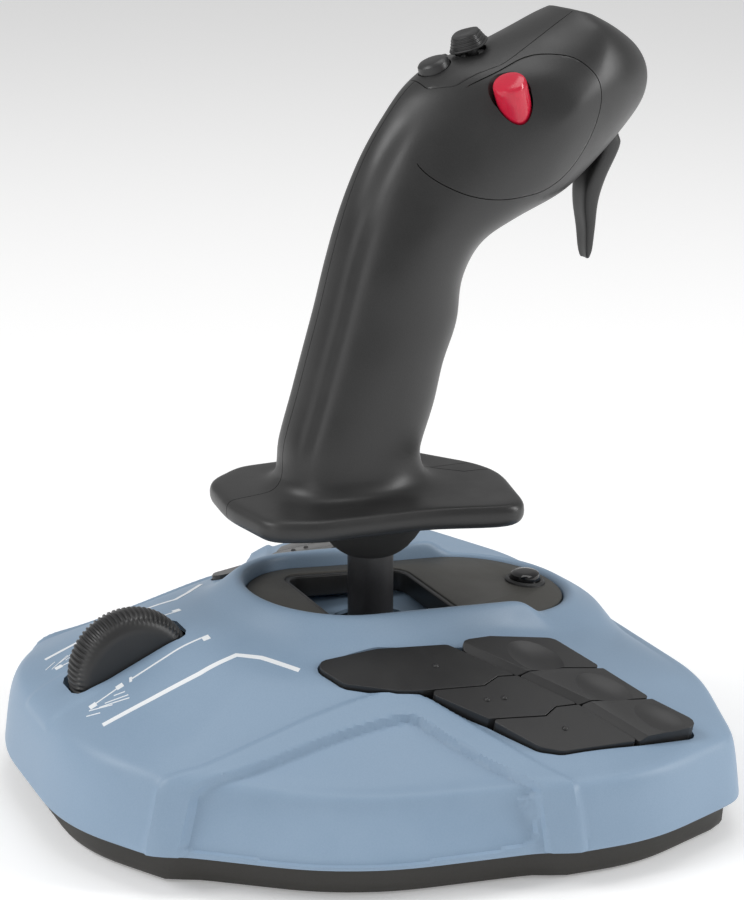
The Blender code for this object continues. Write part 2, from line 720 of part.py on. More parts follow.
def build_collar_plate():
    plate = make_object("collar_plate", loft(rings_round_axis(plate_profile), close=True), "grey_plate")
    low = plate_z(LAMP_Y) - PLATE_THICKNESS
    hole = turned([(LAMP_RADIUS + GAP, low - 3.0), (LAMP_RADIUS + GAP, low + 12.0)],
                  upright(0.0, LAMP_Y), 20)
    combine(plate, make_guide("lamp_hole", hole))
    top = plate_z(LAMP_Y) + LAMP_RISE
    make_object("status_lamp",
                turned([(LAMP_RADIUS, low - 1.0), (LAMP_RADIUS, top - 0.6), (LAMP_RADIUS - 0.8, top)],
                       upright(0.0, LAMP_Y), 20), "lamp")
    half = POST_X + POST_THICKNESS - 1.0
    floor = make_object("well_floor",
                        box((-half, WELL_FRONT_Y - 2.0, POST_TOP_Z + GAP),
                            (half, WELL_REAR_Y + 2.0, POST_TOP_Z + GAP + WELL_FLOOR_THICKNESS)),
                        "blue_shell")
    hole = turned([(WELL_HOLE_RADIUS, POST_TOP_Z - 2.0), (WELL_HOLE_RADIUS, POST_TOP_Z + 5.0)],
                  steps=24)
    combine(floor, make_guide("well_hole", hole))


def build_gimbal():
    floor = TRAY_Z + TRAY_FLOOR + GAP
    pivot = (0.0, 0.0, PIVOT_Z)
    outer = POST_X + POST_THICKNESS
    profile = [(-outer, floor), (outer, floor), (outer, POST_TOP_Z), (POST_X, POST_TOP_Z),
               (POST_X, floor + FRAME_FLOOR), (-POST_X, floor + FRAME_FLOOR), (-POST_X, POST_TOP_Z),
               (-outer, POST_TOP_Z)]
    frame = make_object("gimbal_frame",
                        loft([[(x, y, z) for x, z in profile]
                              for y in (-FRAME_HALF_DEPTH, FRAME_HALF_DEPTH)]), "nylon")
    bore = turned([(AXLE_RADIUS + GAP, -outer - 2.0), (AXLE_RADIUS + GAP, outer + 2.0)],
                  along_x(pivot), 16)
    combine(frame, make_guide("axle_bore", bore))

    def yoke_ring(x, y, z):
        return [(-x, -y, z), (x, -y, z), (x, y, z), (-x, y, z)]

    low = PIVOT_Z - YOKE_HEIGHT / 2
    high = PIVOT_Z + YOKE_HEIGHT / 2
    inner_x = YOKE_OUTER_X - YOKE_BAR
    inner_y = YOKE_OUTER_Y - YOKE_BAR
    yoke = make_object("gimbal_yoke",
                       loft([yoke_ring(YOKE_OUTER_X, YOKE_OUTER_Y, low),
                             yoke_ring(YOKE_OUTER_X, YOKE_OUTER_Y, high),
                             yoke_ring(inner_x, inner_y, high),
                             yoke_ring(inner_x, inner_y, low)], close=True), "nylon", pivot)
    axles = bmesh.new()
    pin_bores = bmesh.new()
    for side in (1, -1):
        add_turned(axles, [(AXLE_RADIUS, side * (YOKE_OUTER_X - 1.0)), (AXLE_RADIUS, side * outer)],
                   along_x(pivot), 16)
    add_turned(pin_bores, [(PIN_RADIUS + GAP, -YOKE_OUTER_Y - 1.0), (PIN_RADIUS + GAP, YOKE_OUTER_Y + 1.0)],
               along_y(pivot), 16)
    combine(yoke, make_guide("yoke_axles", axles), "UNION")
    combine(yoke, make_guide("yoke_pin_bores", pin_bores))

    block_low = PIVOT_Z - BLOCK_HALF
    block_high = PIVOT_Z + BLOCK_HALF
    block = make_object("gimbal_block",
                        box((-BLOCK_HALF, -BLOCK_HALF, block_low), (BLOCK_HALF, BLOCK_HALF, block_high)),
                        "nylon", pivot)
    pins = turned([(PIN_RADIUS, -YOKE_OUTER_Y), (PIN_RADIUS, YOKE_OUTER_Y)], along_y(pivot), 16)
    stem = turned([(STEM_RADIUS, block_low - STEM_LENGTH), (STEM_RADIUS, block_low + 2.0)])
    combine(block, make_guide("block_pins", pins), "UNION")
    combine(block, make_guide("block_stem", stem), "UNION")

    cup_low = block_low - STEM_LENGTH
    bore = STEM_RADIUS + GAP
    make_object("spring_cup",
                turned([(bore, cup_low), (CUP_RADIUS, cup_low), (CUP_RADIUS, cup_low + CUP_THICKNESS),
                        (bore, cup_low + CUP_THICKNESS)], close=True), "nylon", pivot)
    make_object("sensor_magnet",
                turned([(STEM_RADIUS - 0.5, cup_low - 1.6), (STEM_RADIUS - 0.5, cup_low - GAP)]),
                "steel", pivot)
    make_object("centering_spring",
                coil(SPRING_RADIUS, SPRING_WIRE, SPRING_TURNS,
                     cup_low + CUP_THICKNESS + SPRING_WIRE + GAP, block_low - SPRING_WIRE - GAP),
                "steel", pivot)
    make_object("shaft_tube",
                turned([(SHAFT_RADIUS, block_high + GAP), (SHAFT_RADIUS, SHAFT_TOP_Z),
                        (SHAFT_RADIUS - 2.0, SHAFT_TOP_Z), (SHAFT_RADIUS - 2.0, block_high + GAP)],
                       steps=24, close=True), "black_grip", pivot)


def coil(radius, wire, turns, low, high, steps=10, sides=5):
    """A wire wound round the stick's axis."""
    count = turns * steps
    rings = []
    for i in range(count + 1):
        a = 2 * math.pi * i / steps
        centre = Vector((radius * math.cos(a), radius * math.sin(a), low + (high - low) * i / count))
        outward = Vector((math.cos(a), math.sin(a), 0.0))
        rings.append([centre + outward * wire * math.cos(b) + Vector((0.0, 0.0, wire * math.sin(b)))
                      for b in (2 * math.pi * k / sides for k in range(sides))])
    return loft(rings)


def build_throttle():
    centre = Vector(THROTTLE_CENTRE)
    floor = TRAY_Z + TRAY_FLOOR + GAP
    outer = CHEEK_X + CHEEK_THICKNESS
    cheek_top = THROTTLE_CENTRE[2]
    profile = [(-outer, floor), (outer, floor), (outer, cheek_top), (CHEEK_X, cheek_top),
               (CHEEK_X, floor + CHEEK_FLOOR), (-CHEEK_X, floor + CHEEK_FLOOR), (-CHEEK_X, cheek_top),
               (-outer, cheek_top)]
    depths = (centre.y - CHEEK_HALF_DEPTH, centre.y + CHEEK_HALF_DEPTH)
    bracket = make_object("throttle_bracket",
                          loft([[(x, y, z) for x, z in profile] for y in depths]), "nylon")
    room = THROTTLE_AXLE_RADIUS + GAP
    cradle = [(room * math.cos(a), room * math.sin(a)) for a in
              (math.radians(180 + 30 * i) for i in range(7))]
    cradle += [(room, 8.0), (-room, 8.0)]
    notch = make_guide("axle_cradle",
                       loft([[(x, centre.y + y, centre.z + z) for y, z in cradle] for x in (-24.0, 24.0)]))
    combine(bracket, notch)
    sensor = make_object("throttle_potentiometer",
                         box((outer + GAP, centre.y - CHEEK_HALF_DEPTH, centre.z - 10.0),
                             (outer + GAP + 5.6, centre.y + CHEEK_HALF_DEPTH, cheek_top - 1.2)),
                         "dark_tray")
    combine(sensor, notch)
    bore = THROTTLE_AXLE_RADIUS + GAP
    half = THROTTLE_HALF_WIDTH
    make_object("throttle_wheel",
                turned([(bore, -half), (THROTTLE_RADIUS - 0.8, -half), (THROTTLE_RADIUS, -half + 0.8),
                        (THROTTLE_RADIUS, half - 0.8), (THROTTLE_RADIUS - 0.8, half), (bore, half)],
                       along_x(THROTTLE_CENTRE), THROTTLE_STEPS, close=True),
                "black_button", THROTTLE_CENTRE)
    make_object("throttle_axle",
                turned([(THROTTLE_AXLE_RADIUS, -outer), (THROTTLE_AXLE_RADIUS, THROTTLE_AXLE_HALF)],
                       along_x(THROTTLE_CENTRE), 12), "steel", THROTTLE_CENTRE)


# ---- grip ---------------------------------------------------------------------------------
def station_ring(station):
    """One section of the grip's skin."""
    return section_ring(*station)


def hollow_ring(station):
    """The same section inside the wall, squarer and no wider than the head's room."""
    back_y, back_z, front_y, front_z, half_width, power = station
    back = Vector((back_y, back_z))
    front = Vector((front_y, front_z))
    step = (front - back).normalized() * GRIP_WALL
    width = min(half_width - GRIP_WALL, HEAD_ROOM)
    return section_ring(*(back + step), *(front - step), width, HOLLOW_POWER)


def section_ring(back_y, back_z, front_y, front_z, width, power):
    """A superellipse that spans the back and front points."""
    back = Vector((0.0, back_y, back_z))
    front = Vector((0.0, front_y, front_z))
    centre = (back + front) / 2
    reach = (front - back) / 2
    ring = []
    for i in range(GRIP_STEPS):
        a = 2 * math.pi * i / GRIP_STEPS
        c = math.copysign(abs(math.cos(a)) ** (2 / power), math.cos(a))
        s = math.copysign(abs(math.sin(a)) ** (2 / power), math.sin(a))
        ring.append(centre + Vector((width * s, 0.0, 0.0)) - reach * c)
    return ring


def grip_body():
    return loft([station_ring(station) for station in GRIP_STATIONS])


def hand_rest():
    outline = rounded(REST_CORNERS)
    inner = offset_outline(outline, -2.0)
    levels = [(inner, REST_BOTTOM_Z), (outline, REST_BOTTOM_Z + 2.0), (outline, REST_TOP_Z - 2.0),
              (inner, REST_TOP_Z)]
    return loft([[(x, y, z) for x, y in points] for points, z in levels])


def module_seat(outset, start_x, side):
    """The side module's outline, drawn on the head's side."""
    outline = offset_outline(rounded(MODULE_CORNERS, steps=4), -outset)
    return loft([[(side * x, y, z) for y, z in outline] for x in (start_x, 40.0)])


def panel_box(depth, grow):
    """The block of space over the head that the top panel fills."""
    matrix = frame_of(HAT_FOOT, TOP_NORMAL)
    bm = box((-PANEL_HALF_WIDTH - grow, -PANEL_FRONT - grow, -depth),
             (PANEL_HALF_WIDTH + grow, PANEL_REAR + grow, 30.0))
    bmesh.ops.transform(bm, matrix=matrix, verts=bm.verts)
    return bm


def side_button_frame(side):
    foot = Vector((side * SIDE_BUTTON_FOOT.x, SIDE_BUTTON_FOOT.y, SIDE_BUTTON_FOOT.z))
    normal = Vector((side * SIDE_BUTTON_NORMAL.x, SIDE_BUTTON_NORMAL.y, SIDE_BUTTON_NORMAL.z))
    return frame_of(foot, normal), foot


def button_profile(radius, rise):
    return [(radius, -HEAD_BUTTON_DEPTH), (radius, rise - 0.7), (radius - 0.7, rise)]


def button_room(radius):
    return [(radius + GAP, -HEAD_BUTTON_DEPTH - HEAD_BUTTON_TRAVEL - GAP), (radius + GAP, 14.0)]


def build_grip():
    rest = make_guide("hand_rest", hand_rest())
    cavity = make_guide("grip_cavity", loft([hollow_ring(station) for station in GRIP_STATIONS[1:-2]]))
    bore = make_guide("shaft_bore", turned([(SHAFT_RADIUS + GAP, 60.0), (SHAFT_RADIUS + GAP, 100.0)],
                                           steps=24))
    panel_seat = make_guide("panel_seat", panel_box(PANEL_DEPTH + GAP, GAP / 2))
    panel_space = make_guide("panel_space", panel_box(PANEL_DEPTH, -GAP / 2))
    pivot = Vector(TRIGGER_PIVOT)
    slot_half = TRIGGER_HALF_WIDTH + GAP
    slot = make_guide("trigger_slot", box((-slot_half, TRIGGER_SLOT_REAR_Y, 140.0),
                                          (slot_half, TRIGGER_SLOT_FRONT_Y, pivot.z + 6.0)))
    pin_half = HEAD_ROOM + 2.0
    pin_room = TRIGGER_PIN_RADIUS + GAP
    spring_room = pin_room + TRIGGER_SPRING_WALL + 2 * GAP
    spring_half = TRIGGER_HALF_WIDTH + TRIGGER_SPRING_WIDTH + 4 * GAP
    pin_hole = make_guide("pin_hole", turned([(pin_room, -pin_half - GAP), (pin_room, -spring_half),
                                              (spring_room, -spring_half), (spring_room, spring_half),
                                              (pin_room, spring_half), (pin_room, pin_half + GAP)],
                                             along_x(pivot), 12))
    for side in (1, -1):
        hand = side_name(side)
        away = make_guide("other_side_" + hand,
                          box((min(-side * 80.0, side * SEAM / 2), -90.0, 40.0),
                              (max(-side * 80.0, side * SEAM / 2), 120.0, 260.0)))
        seat = make_guide("module_seat_" + hand, module_seat(0.0, MODULE_X, side))
        space = make_guide("module_space_" + hand, module_seat(SEAM, MODULE_X + GAP, side))
        matrix, foot = side_button_frame(side)
        room = make_guide("button_room_" + hand, turned(button_room(SIDE_BUTTON_RADIUS), matrix, 20))
        shell = make_object("grip_shell_" + hand, grip_body(), "black_grip", (0.0, 0.0, PIVOT_Z))
        combine(shell, rest, "UNION")
        for cutter in (room, away, cavity, bore, seat, panel_seat, slot, pin_hole):
            combine(shell, cutter)
        module = make_object("side_module_" + hand, grip_body(), "black_grip", (0.0, 0.0, PIVOT_Z))
        combine(module, space, "INTERSECT")
        combine(module, room)
        combine(module, panel_seat)
        name, finish = ("red_button", "red_button") if side > 0 else ("left_button", "black_button")
        make_object(name, turned(button_profile(SIDE_BUTTON_RADIUS, SIDE_BUTTON_RISE), matrix, 20),
                    finish, foot)
    panel = make_object("top_panel", grip_body(), "black_grip", (0.0, 0.0, PIVOT_Z))
    combine(panel, panel_space, "INTERSECT")
    hat_matrix = frame_of(HAT_FOOT, TOP_NORMAL)
    centre_matrix = frame_of(CENTRE_FOOT, TOP_NORMAL)
    combine(panel, make_guide("hat_room", turned([(HAT_ROOM_RADIUS, -20.0), (HAT_ROOM_RADIUS, 20.0)],
                                                 hat_matrix, 20)))
    centre_room = make_guide("centre_room", turned(button_room(CENTRE_RADIUS), centre_matrix, 20))
    combine(panel, centre_room)
    make_object("centre_button", turned(button_profile(CENTRE_RADIUS, CENTRE_RISE), centre_matrix, 20),
                "black_button", CENTRE_FOOT)
    build_hat(hat_matrix)
    build_boot()
    build_trigger(pivot, pin_half)
    make_object("head_board", box((-BOARD_THICKNESS / 2, 15.0, 170.0), (BOARD_THICKNESS / 2, 46.0, 182.0)),
                "board")


def build_hat(matrix):
    hat_pivot = HAT_FOOT - TOP_NORMAL * HAT_PIVOT_DEPTH
    inner = HAT_STEM_RADIUS + GAP
    outer = HAT_ROOM_RADIUS - 2 * GAP
    low = -HAT_PIVOT_DEPTH - HAT_ROCKER_HALF
    high = -HAT_PIVOT_DEPTH + HAT_ROCKER_HALF
    ring = [(inner, low), (outer, low), (outer, high), (inner, high)]
    make_object("hat_rocker", turned(ring, matrix, 16, close=True), "nylon", hat_pivot)
    make_object("hat_cap",
                turned([(HAT_STEM_RADIUS, -HAT_PIVOT_DEPTH - HAT_STEM_DEPTH),
                        (HAT_STEM_RADIUS, HAT_UNDERSIDE), (HAT_BASE_RADIUS, HAT_UNDERSIDE),
                        (HAT_BASE_RADIUS, HAT_RIM_TOP), (HAT_WAIST_RADIUS, HAT_WAIST_AT),
                        (HAT_TOP_RADIUS, HAT_FLARE_AT), (HAT_TOP_RADIUS - 1.0, HAT_HEIGHT)], matrix, 20),
                "black_button", hat_pivot)
    half = HAT_SWITCH_HALF
    top = -HAT_PIVOT_DEPTH - HAT_STEM_DEPTH - 3 * GAP
    switch = box((-half, -half, top - 4.0), (half, half, top))
    bmesh.ops.transform(switch, matrix=matrix, verts=switch.verts)
    make_object("hat_switch", switch, "nylon")


def build_boot():
    top = REST_BOTTOM_Z - GAP
    bore = SHAFT_RADIUS + GAP
    ring_room = SHAFT_RADIUS + TWIST_RING_WALL + 2 * GAP
    ring_low = BOOT_BOTTOM_Z + TWIST_RING_RISE
    make_object("neck_boot",
                turned([(bore, BOOT_BOTTOM_Z), (BOOT_BOTTOM_RADIUS, BOOT_BOTTOM_Z),
                        (BOOT_TOP_RADIUS * 0.66, BOOT_BOTTOM_Z + 4.0), (BOOT_TOP_RADIUS, top - 2.5),
                        (BOOT_TOP_RADIUS, top), (ring_room, top), (ring_room, ring_low), (bore, ring_low)],
                       steps=28, close=True), "black_grip", (0.0, 0.0, PIVOT_Z))
    make_object("twist_ring",
                turned([(bore, ring_low + GAP), (bore + TWIST_RING_WALL, ring_low + GAP),
                        (bore + TWIST_RING_WALL, top - GAP), (bore, top - GAP)],
                       steps=24, close=True), "nylon", (0.0, 0.0, PIVOT_Z))


def build_trigger(pivot, pin_half):
    half = TRIGGER_HALF_WIDTH
    rings = []
    for z, rear, front, width in TRIGGER_LEVELS:
        corner = min(TRIGGER_CORNER, TRIGGER_CORNER_SHARE * (front - rear))
        corners = [(-width, rear, corner), (width, rear, corner), (width, front, corner),
                   (-width, front, corner)]
        rings.append([(x, y, z) for x, y in rounded(corners, steps=1)])
    trigger = make_object("trigger", loft(rings), "black_button", pivot)
    bore = TRIGGER_PIN_RADIUS + GAP
    combine(trigger, make_guide("trigger_bore", turned([(bore, -half - 1.0), (bore, half + 1.0)],
                                                       along_x(pivot), 12)))
    make_object("trigger_pin",
                turned([(TRIGGER_PIN_RADIUS, -pin_half), (TRIGGER_PIN_RADIUS, pin_half)],
                       along_x(pivot), 12), "steel")
    low = half + 2 * GAP
    make_object("trigger_spring",
                turned([(bore, low), (bore + TRIGGER_SPRING_WALL, low),
                        (bore + TRIGGER_SPRING_WALL, low + TRIGGER_SPRING_WIDTH),
                        (bore, low + TRIGGER_SPRING_WIDTH)], along_x(pivot), 12, close=True),
                "steel")


# ---- the model ----------------------------------------------------------------------------
def build():
    for old in list(bpy.data.objects):
        bpy.data.objects.remove(old, do_unlink=True)
    shell = build_shell()
    build_clusters(shell)
    build_tray()
    build_base_inside()
    build_collar_plate()
    build_gimbal()
    build_throttle()
    build_grip()


build()
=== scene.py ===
"""Looks of the desk flight joystick: moulded shells, grip, controls, finishes, light and camera.

Shapes are drawn in millimetres from the stick's axis (x = 0, y = 0) and the table (z = 0), +X to the
user's right and -Y towards the user. place() then carries them into the frame of the CAD model.
"""

import math

import bmesh
import bpy
from mathutils import Matrix, Vector
from mathutils.bvhtree import BVHTree


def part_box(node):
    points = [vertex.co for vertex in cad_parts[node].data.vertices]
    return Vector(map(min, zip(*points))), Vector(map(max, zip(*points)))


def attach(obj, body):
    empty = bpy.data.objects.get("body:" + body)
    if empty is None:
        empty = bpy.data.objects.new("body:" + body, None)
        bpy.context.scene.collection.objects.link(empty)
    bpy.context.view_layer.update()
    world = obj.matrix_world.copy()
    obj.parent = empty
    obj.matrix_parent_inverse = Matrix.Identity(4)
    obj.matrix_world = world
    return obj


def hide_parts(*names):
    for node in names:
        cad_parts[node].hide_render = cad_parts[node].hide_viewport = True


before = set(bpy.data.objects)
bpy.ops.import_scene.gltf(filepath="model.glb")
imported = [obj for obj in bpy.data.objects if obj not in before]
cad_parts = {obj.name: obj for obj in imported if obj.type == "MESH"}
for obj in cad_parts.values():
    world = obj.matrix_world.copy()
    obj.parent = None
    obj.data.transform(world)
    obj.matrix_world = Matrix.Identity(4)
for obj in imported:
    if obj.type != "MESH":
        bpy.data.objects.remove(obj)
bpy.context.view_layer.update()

MM = 0.001
SHAFT_LOW, SHAFT_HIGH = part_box("shaft_tube")
STICK_Y = (SHAFT_LOW.y + SHAFT_HIGH.y) / 2 / MM
SEAM = 0.12             # half of a visible seam between two mouldings
SMOOTH_BELOW = math.radians(33)
PLASTIC_IOR = 1.53
BLOTCH_MM = 25.0        # size of the slow changes in tone and gloss


# ---- materials ----
def linear(code):
    """Linear colour of an sRGB hex value."""
    parts = [int(code[i:i + 2], 16) / 255 for i in (0, 2, 4)]
    return tuple(p / 12.92 if p <= 0.04045 else ((p + 0.055) / 1.055) ** 2.4 for p in parts) + (1.0,)


def add(tree, kind, inputs=None, links=None, **settings):
    """One node with its settings, its input values and the sockets that feed it."""
    made = tree.nodes.new(kind)
    for name, value in settings.items():
        setattr(made, name, value)
    for name, value in (inputs or {}).items():
        made.inputs[name].default_value = value
    for name, socket in (links or {}).items():
        tree.links.new(socket, made.inputs[name])
    return made


def moulded(name, light, dark, rough, grain_mm, grain_depth_mm, metallic=0.0, wear=0.08):
    """An injection-moulded or cast surface: fine spark-eroded grain, slow tone and gloss changes."""
    made = bpy.data.materials.new(name)
    made.use_nodes = True
    tree = made.node_tree
    shader = tree.nodes["Principled BSDF"]
    shader.inputs["Metallic"].default_value = metallic
    if metallic < 0.5:
        shader.inputs["IOR"].default_value = PLASTIC_IOR
    at = add(tree, "ShaderNodeTexCoord").outputs["Object"]
    blotch = add(tree, "ShaderNodeTexNoise", {"Scale": 1000 / BLOTCH_MM, "Detail": 3.0, "Roughness": 0.6},
                 {"Vector": at})
    grain = add(tree, "ShaderNodeTexNoise", {"Scale": 1000 / grain_mm, "Detail": 2.0, "Roughness": 0.7},
                {"Vector": at})
    tone = add(tree, "ShaderNodeMapRange", {"From Min": 0.3, "From Max": 0.7, "To Min": 0.0, "To Max": 1.0},
               {"Value": blotch.outputs["Fac"]})
    speck = add(tree, "ShaderNodeMapRange",
                {"From Min": 0.35, "From Max": 0.65, "To Min": 0.0, "To Max": 1.0},
                {"Value": grain.outputs["Fac"]})
    both = add(tree, "ShaderNodeMix", {"Factor": 0.45}, {"A": tone.outputs["Result"],
                                                         "B": speck.outputs["Result"]}, data_type="FLOAT")
    colour = add(tree, "ShaderNodeMix", {"A": linear(dark), "B": linear(light)}, data_type="RGBA")
    tree.links.new(both.outputs["Result"], colour.inputs["Factor"])
    tree.links.new(colour.outputs["Result"], shader.inputs["Base Color"])
    gloss = add(tree, "ShaderNodeMapRange", {"From Min": 0.3, "From Max": 0.7, "To Min": rough - wear,
                                             "To Max": rough + wear}, {"Value": blotch.outputs["Fac"]})
    tree.links.new(gloss.outputs["Result"], shader.inputs["Roughness"])
    bump = add(tree, "ShaderNodeBump", {"Strength": 1.0, "Distance": grain_depth_mm * MM},
               {"Height": grain.outputs["Fac"]})
    tree.links.new(bump.outputs["Normal"], shader.inputs["Normal"])
    return made


FINISH = {
    # Satin blue-grey ABS, spark-eroded: a soft broad sheen with a fine sand-like grain.
    "blue_abs": moulded("blue_abs_spark_eroded", "8FA6BD", "869EB6", 0.47, 0.45, 0.012),
    # Black ABS with a deeper texture that greys the highlights on the grip.
    "grip_abs": moulded("grip_abs_textured", "2C2C2C", "222222", 0.38, 0.40, 0.020),
    # Key-top ABS, a little smoother than the grip.
    "key_abs": moulded("key_abs_satin", "2F2F2F", "272728", 0.40, 0.35, 0.010),
    # Tray moulding in warm black, matt.
    "tray_abs": moulded("tray_abs_matt", "33312D", "292723", 0.55, 0.50, 0.018),
    # Collar plate in warm grey ABS with a visible grain.
    "plate_abs": moulded("plate_abs_grained", "4B4A45", "403F3B", 0.50, 0.60, 0.030),
    # Polished red polycarbonate button: sharp highlight, almost no grain.
    "red_pc": moulded("red_polycarbonate_polished", "D4203E", "C41C38", 0.16, 0.8, 0.002, wear=0.03),
    # Smoked polycarbonate lens over the lamp.
    "smoked_pc": moulded("smoked_polycarbonate", "17171A", "0E0E10", 0.08, 0.8, 0.001, wear=0.02),
    # Zinc-plated steel pins, screws and springs.
    "zinc": moulded("zinc_plated_steel", "B9BBBD", "9FA2A6", 0.30, 0.30, 0.004, metallic=1.0),
    # Cast iron ballast, painted black.
    "iron": moulded("painted_cast_iron", "2E2E30", "232325", 0.60, 1.2, 0.080),
    # Silicone rubber feet and key pads: matt with a powdery tone.
    "rubber": moulded("silicone_rubber", "262626", "1E1E1E", 0.80, 0.70, 0.020),
    # Acetal rings and brackets: waxy dark grey.
    "acetal": moulded("acetal_machined", "3C3C3E", "333335", 0.38, 0.60, 0.006),
    # Glass-epoxy circuit board under green resist.
    "epoxy": moulded("glass_epoxy_board", "1F5A34", "17492A", 0.35, 0.30, 0.010),
    # White pad-printed ink.
    "ink": moulded("pad_printed_ink", "F6F9FB", "EEF2F5", 0.50, 0.30, 0.004),
}


# ---- mesh tools ----
def place(bm):
    """From the stick's frame in millimetres to the CAD model's frame in metres."""
    bmesh.ops.translate(bm, verts=bm.verts, vec=(0.0, STICK_Y, 0.0))
    bmesh.ops.scale(bm, verts=bm.verts, vec=(MM, MM, MM))


def put(name, data):
    """A new object in the scene."""
    made = bpy.data.objects.new(name, data)
    bpy.context.scene.collection.objects.link(made)
    return made


def to_object(name, bm, finish):
    """A drawn mesh as an object in metres, with its finish."""
    bmesh.ops.remove_doubles(bm, verts=bm.verts, dist=1e-4)
    bmesh.ops.recalc_face_normals(bm, faces=bm.faces)
    place(bm)
    mesh = bpy.data.meshes.new(name)
    bm.to_mesh(mesh)
    bm.free()
    made = put(name, mesh)
    mesh.materials.append(FINISH[finish])
    return made


def opened(mesh):
    """A fresh editable copy of a mesh."""
    bm = bmesh.new()
    bm.from_mesh(mesh)
    return bm


def soften(obj, limit=SMOOTH_BELOW):
    """Smooth shading, with sharp edges where the surface turns by more than the limit."""
    bm = opened(obj.data)
    for face in bm.faces:
        face.smooth = True
    for edge in bm.edges:
        edge.smooth = len(edge.link_faces) == 2 and edge.calc_face_angle(0.0) < limit
    bm.to_mesh(obj.data)
    bm.free()


def bake(obj):
    """Apply the modifiers."""
    bpy.context.view_layer.update()
    graph = bpy.context.evaluated_depsgraph_get()
    mesh = bpy.data.meshes.new_from_object(obj.evaluated_get(graph))
    obj.modifiers.clear()
    old = obj.data
    obj.data = mesh
    bpy.data.meshes.remove(old)


def subdivide(obj, levels):
    step = obj.modifiers.new("subdivision", "SUBSURF")
    step.levels = levels
    step.render_levels = levels
    bake(obj)


def cut(obj, cutters, operation="DIFFERENCE"):
    """Boolean work with meshes drawn in millimetres; they are thrown away afterwards."""
    for bm in cutters:
        tool = to_object("tool", bm, "key_abs")
        step = obj.modifiers.new("boolean", "BOOLEAN")
        step.operation = operation
        step.solver = "EXACT"
        step.object = tool
        bake(obj)
        bpy.data.objects.remove(tool)


def bevel_sharp(obj, width, segments=2, limit=33.0):
    step = obj.modifiers.new("edge_round", "BEVEL")
    step.width = width * MM
    step.segments = segments
    step.limit_method = "ANGLE"
    step.angle_limit = math.radians(limit)
    step.miter_outer = "MITER_SHARP"
    bake(obj)


def fit(obj, body, *nodes, limit=SMOOTH_BELOW):
    """Last step for a piece: shading, the body it rides on and the CAD nodes it stands for."""
    bm = opened(obj.data)
    bmesh.ops.dissolve_degenerate(bm, edges=bm.edges, dist=1e-7)
    loose = [v for v in bm.verts if not v.link_faces]
    bmesh.ops.delete(bm, geom=loose, context="VERTS")
    bm.to_mesh(obj.data)
    bm.free()
    soften(obj, limit)
    keep = obj.data.materials[0]
    obj.data.materials.clear()
    obj.data.materials.append(keep)
    for polygon in obj.data.polygons:
        polygon.material_index = 0
    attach(obj, body)
    if nodes:
        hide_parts(*nodes)
    return obj


def loft(rings, closed=False):
    """A skin over rings of points: one circle, extruded from ring to ring."""
    bm = bmesh.new()
    loop = bmesh.ops.create_circle(bm, segments=len(rings[0]), radius=1.0)["verts"]
    first = loop
    for vert, spot in zip(loop, rings[0]):
        vert.co = spot
    for ring in rings[1:]:
        edges = [edge for start, end in zip(loop[-1:] + loop[:-1], loop)
                 for edge in start.link_edges if edge.other_vert(start) is end]
        made = bmesh.ops.extrude_edge_only(bm, edges=edges)["geom"]
        fresh = {v for v in made if isinstance(v, bmesh.types.BMVert)}
        loop = [next(e.other_vert(v) for e in v.link_edges if e.other_vert(v) in fresh) for v in loop]
        for vert, spot in zip(loop, ring):
            vert.co = spot
    if closed:
        for i in range(len(loop)):
            bm.faces.new((first[i - 1], first[i], loop[i], loop[i - 1]))
    else:
        bm.faces.new(first)
        bm.faces.new(loop)
    bmesh.ops.recalc_face_normals(bm, faces=bm.faces)
    return bm


def turned(profile, steps=64, matrix=None, ring=False):
    """A (radius, height) profile spun about the Z axis; ring closes the profile on itself."""
    bm = bmesh.new()
    points = list(profile)
    if not ring:
        points = [(0.0, points[0][1])] + points + [(0.0, points[-1][1])]
    verts = [bm.verts.new((r, 0.0, z)) for r, z in points]
    edges = [bm.edges.new(pair) for pair in zip(verts, verts[1:])]
    if ring:
        edges.append(bm.edges.new((verts[-1], verts[0])))
    bmesh.ops.spin(bm, geom=verts + edges, cent=(0, 0, 0), axis=(0, 0, 1), angle=2 * math.pi, steps=steps,
                   use_merge=True)
    bmesh.ops.remove_doubles(bm, verts=bm.verts, dist=1e-5)
    bmesh.ops.recalc_face_normals(bm, faces=bm.faces)
    if matrix is not None:
        bmesh.ops.transform(bm, matrix=matrix, verts=bm.verts)
    return bm


def bore(radius, matrix, steps=32):
    """A round cutter about the matrix's Z axis."""
    return turned([(radius, -9.0), (radius, 9.0)], steps, matrix)


def prism(outline, low, high, matrix=None):
    """An outline extruded from one height to another."""
    bm = bmesh.new()
    face = bm.faces.new([bm.verts.new((x, y, low)) for x, y in outline])
    grown = bmesh.ops.extrude_face_region(bm, geom=[face])["geom"]
    bmesh.ops.translate(bm, verts=[v for v in grown if isinstance(v, bmesh.types.BMVert)],
                        vec=(0.0, 0.0, high - low))
    bmesh.ops.recalc_face_normals(bm, faces=bm.faces)
    if matrix is not None:
        bmesh.ops.transform(bm, matrix=matrix, verts=bm.verts)
    return bm


def frame_of(point, normal, along=(0.0, 1.0, 0.0)):
    """A matrix whose Z runs along the normal and whose Y leans towards the given direction."""
    up = Vector(normal).normalized()
    right = Vector(along).cross(up).normalized()
    forward = up.cross(right)
    turn = Matrix((right, forward, up)).transposed().to_4x4()
    return Matrix.Translation(Vector(point)) @ turn


def across(point):
    """A matrix whose Z runs along +X."""
    return Matrix.Translation(Vector(point)) @ Matrix.Rotation(math.pi / 2, 4, "Y")


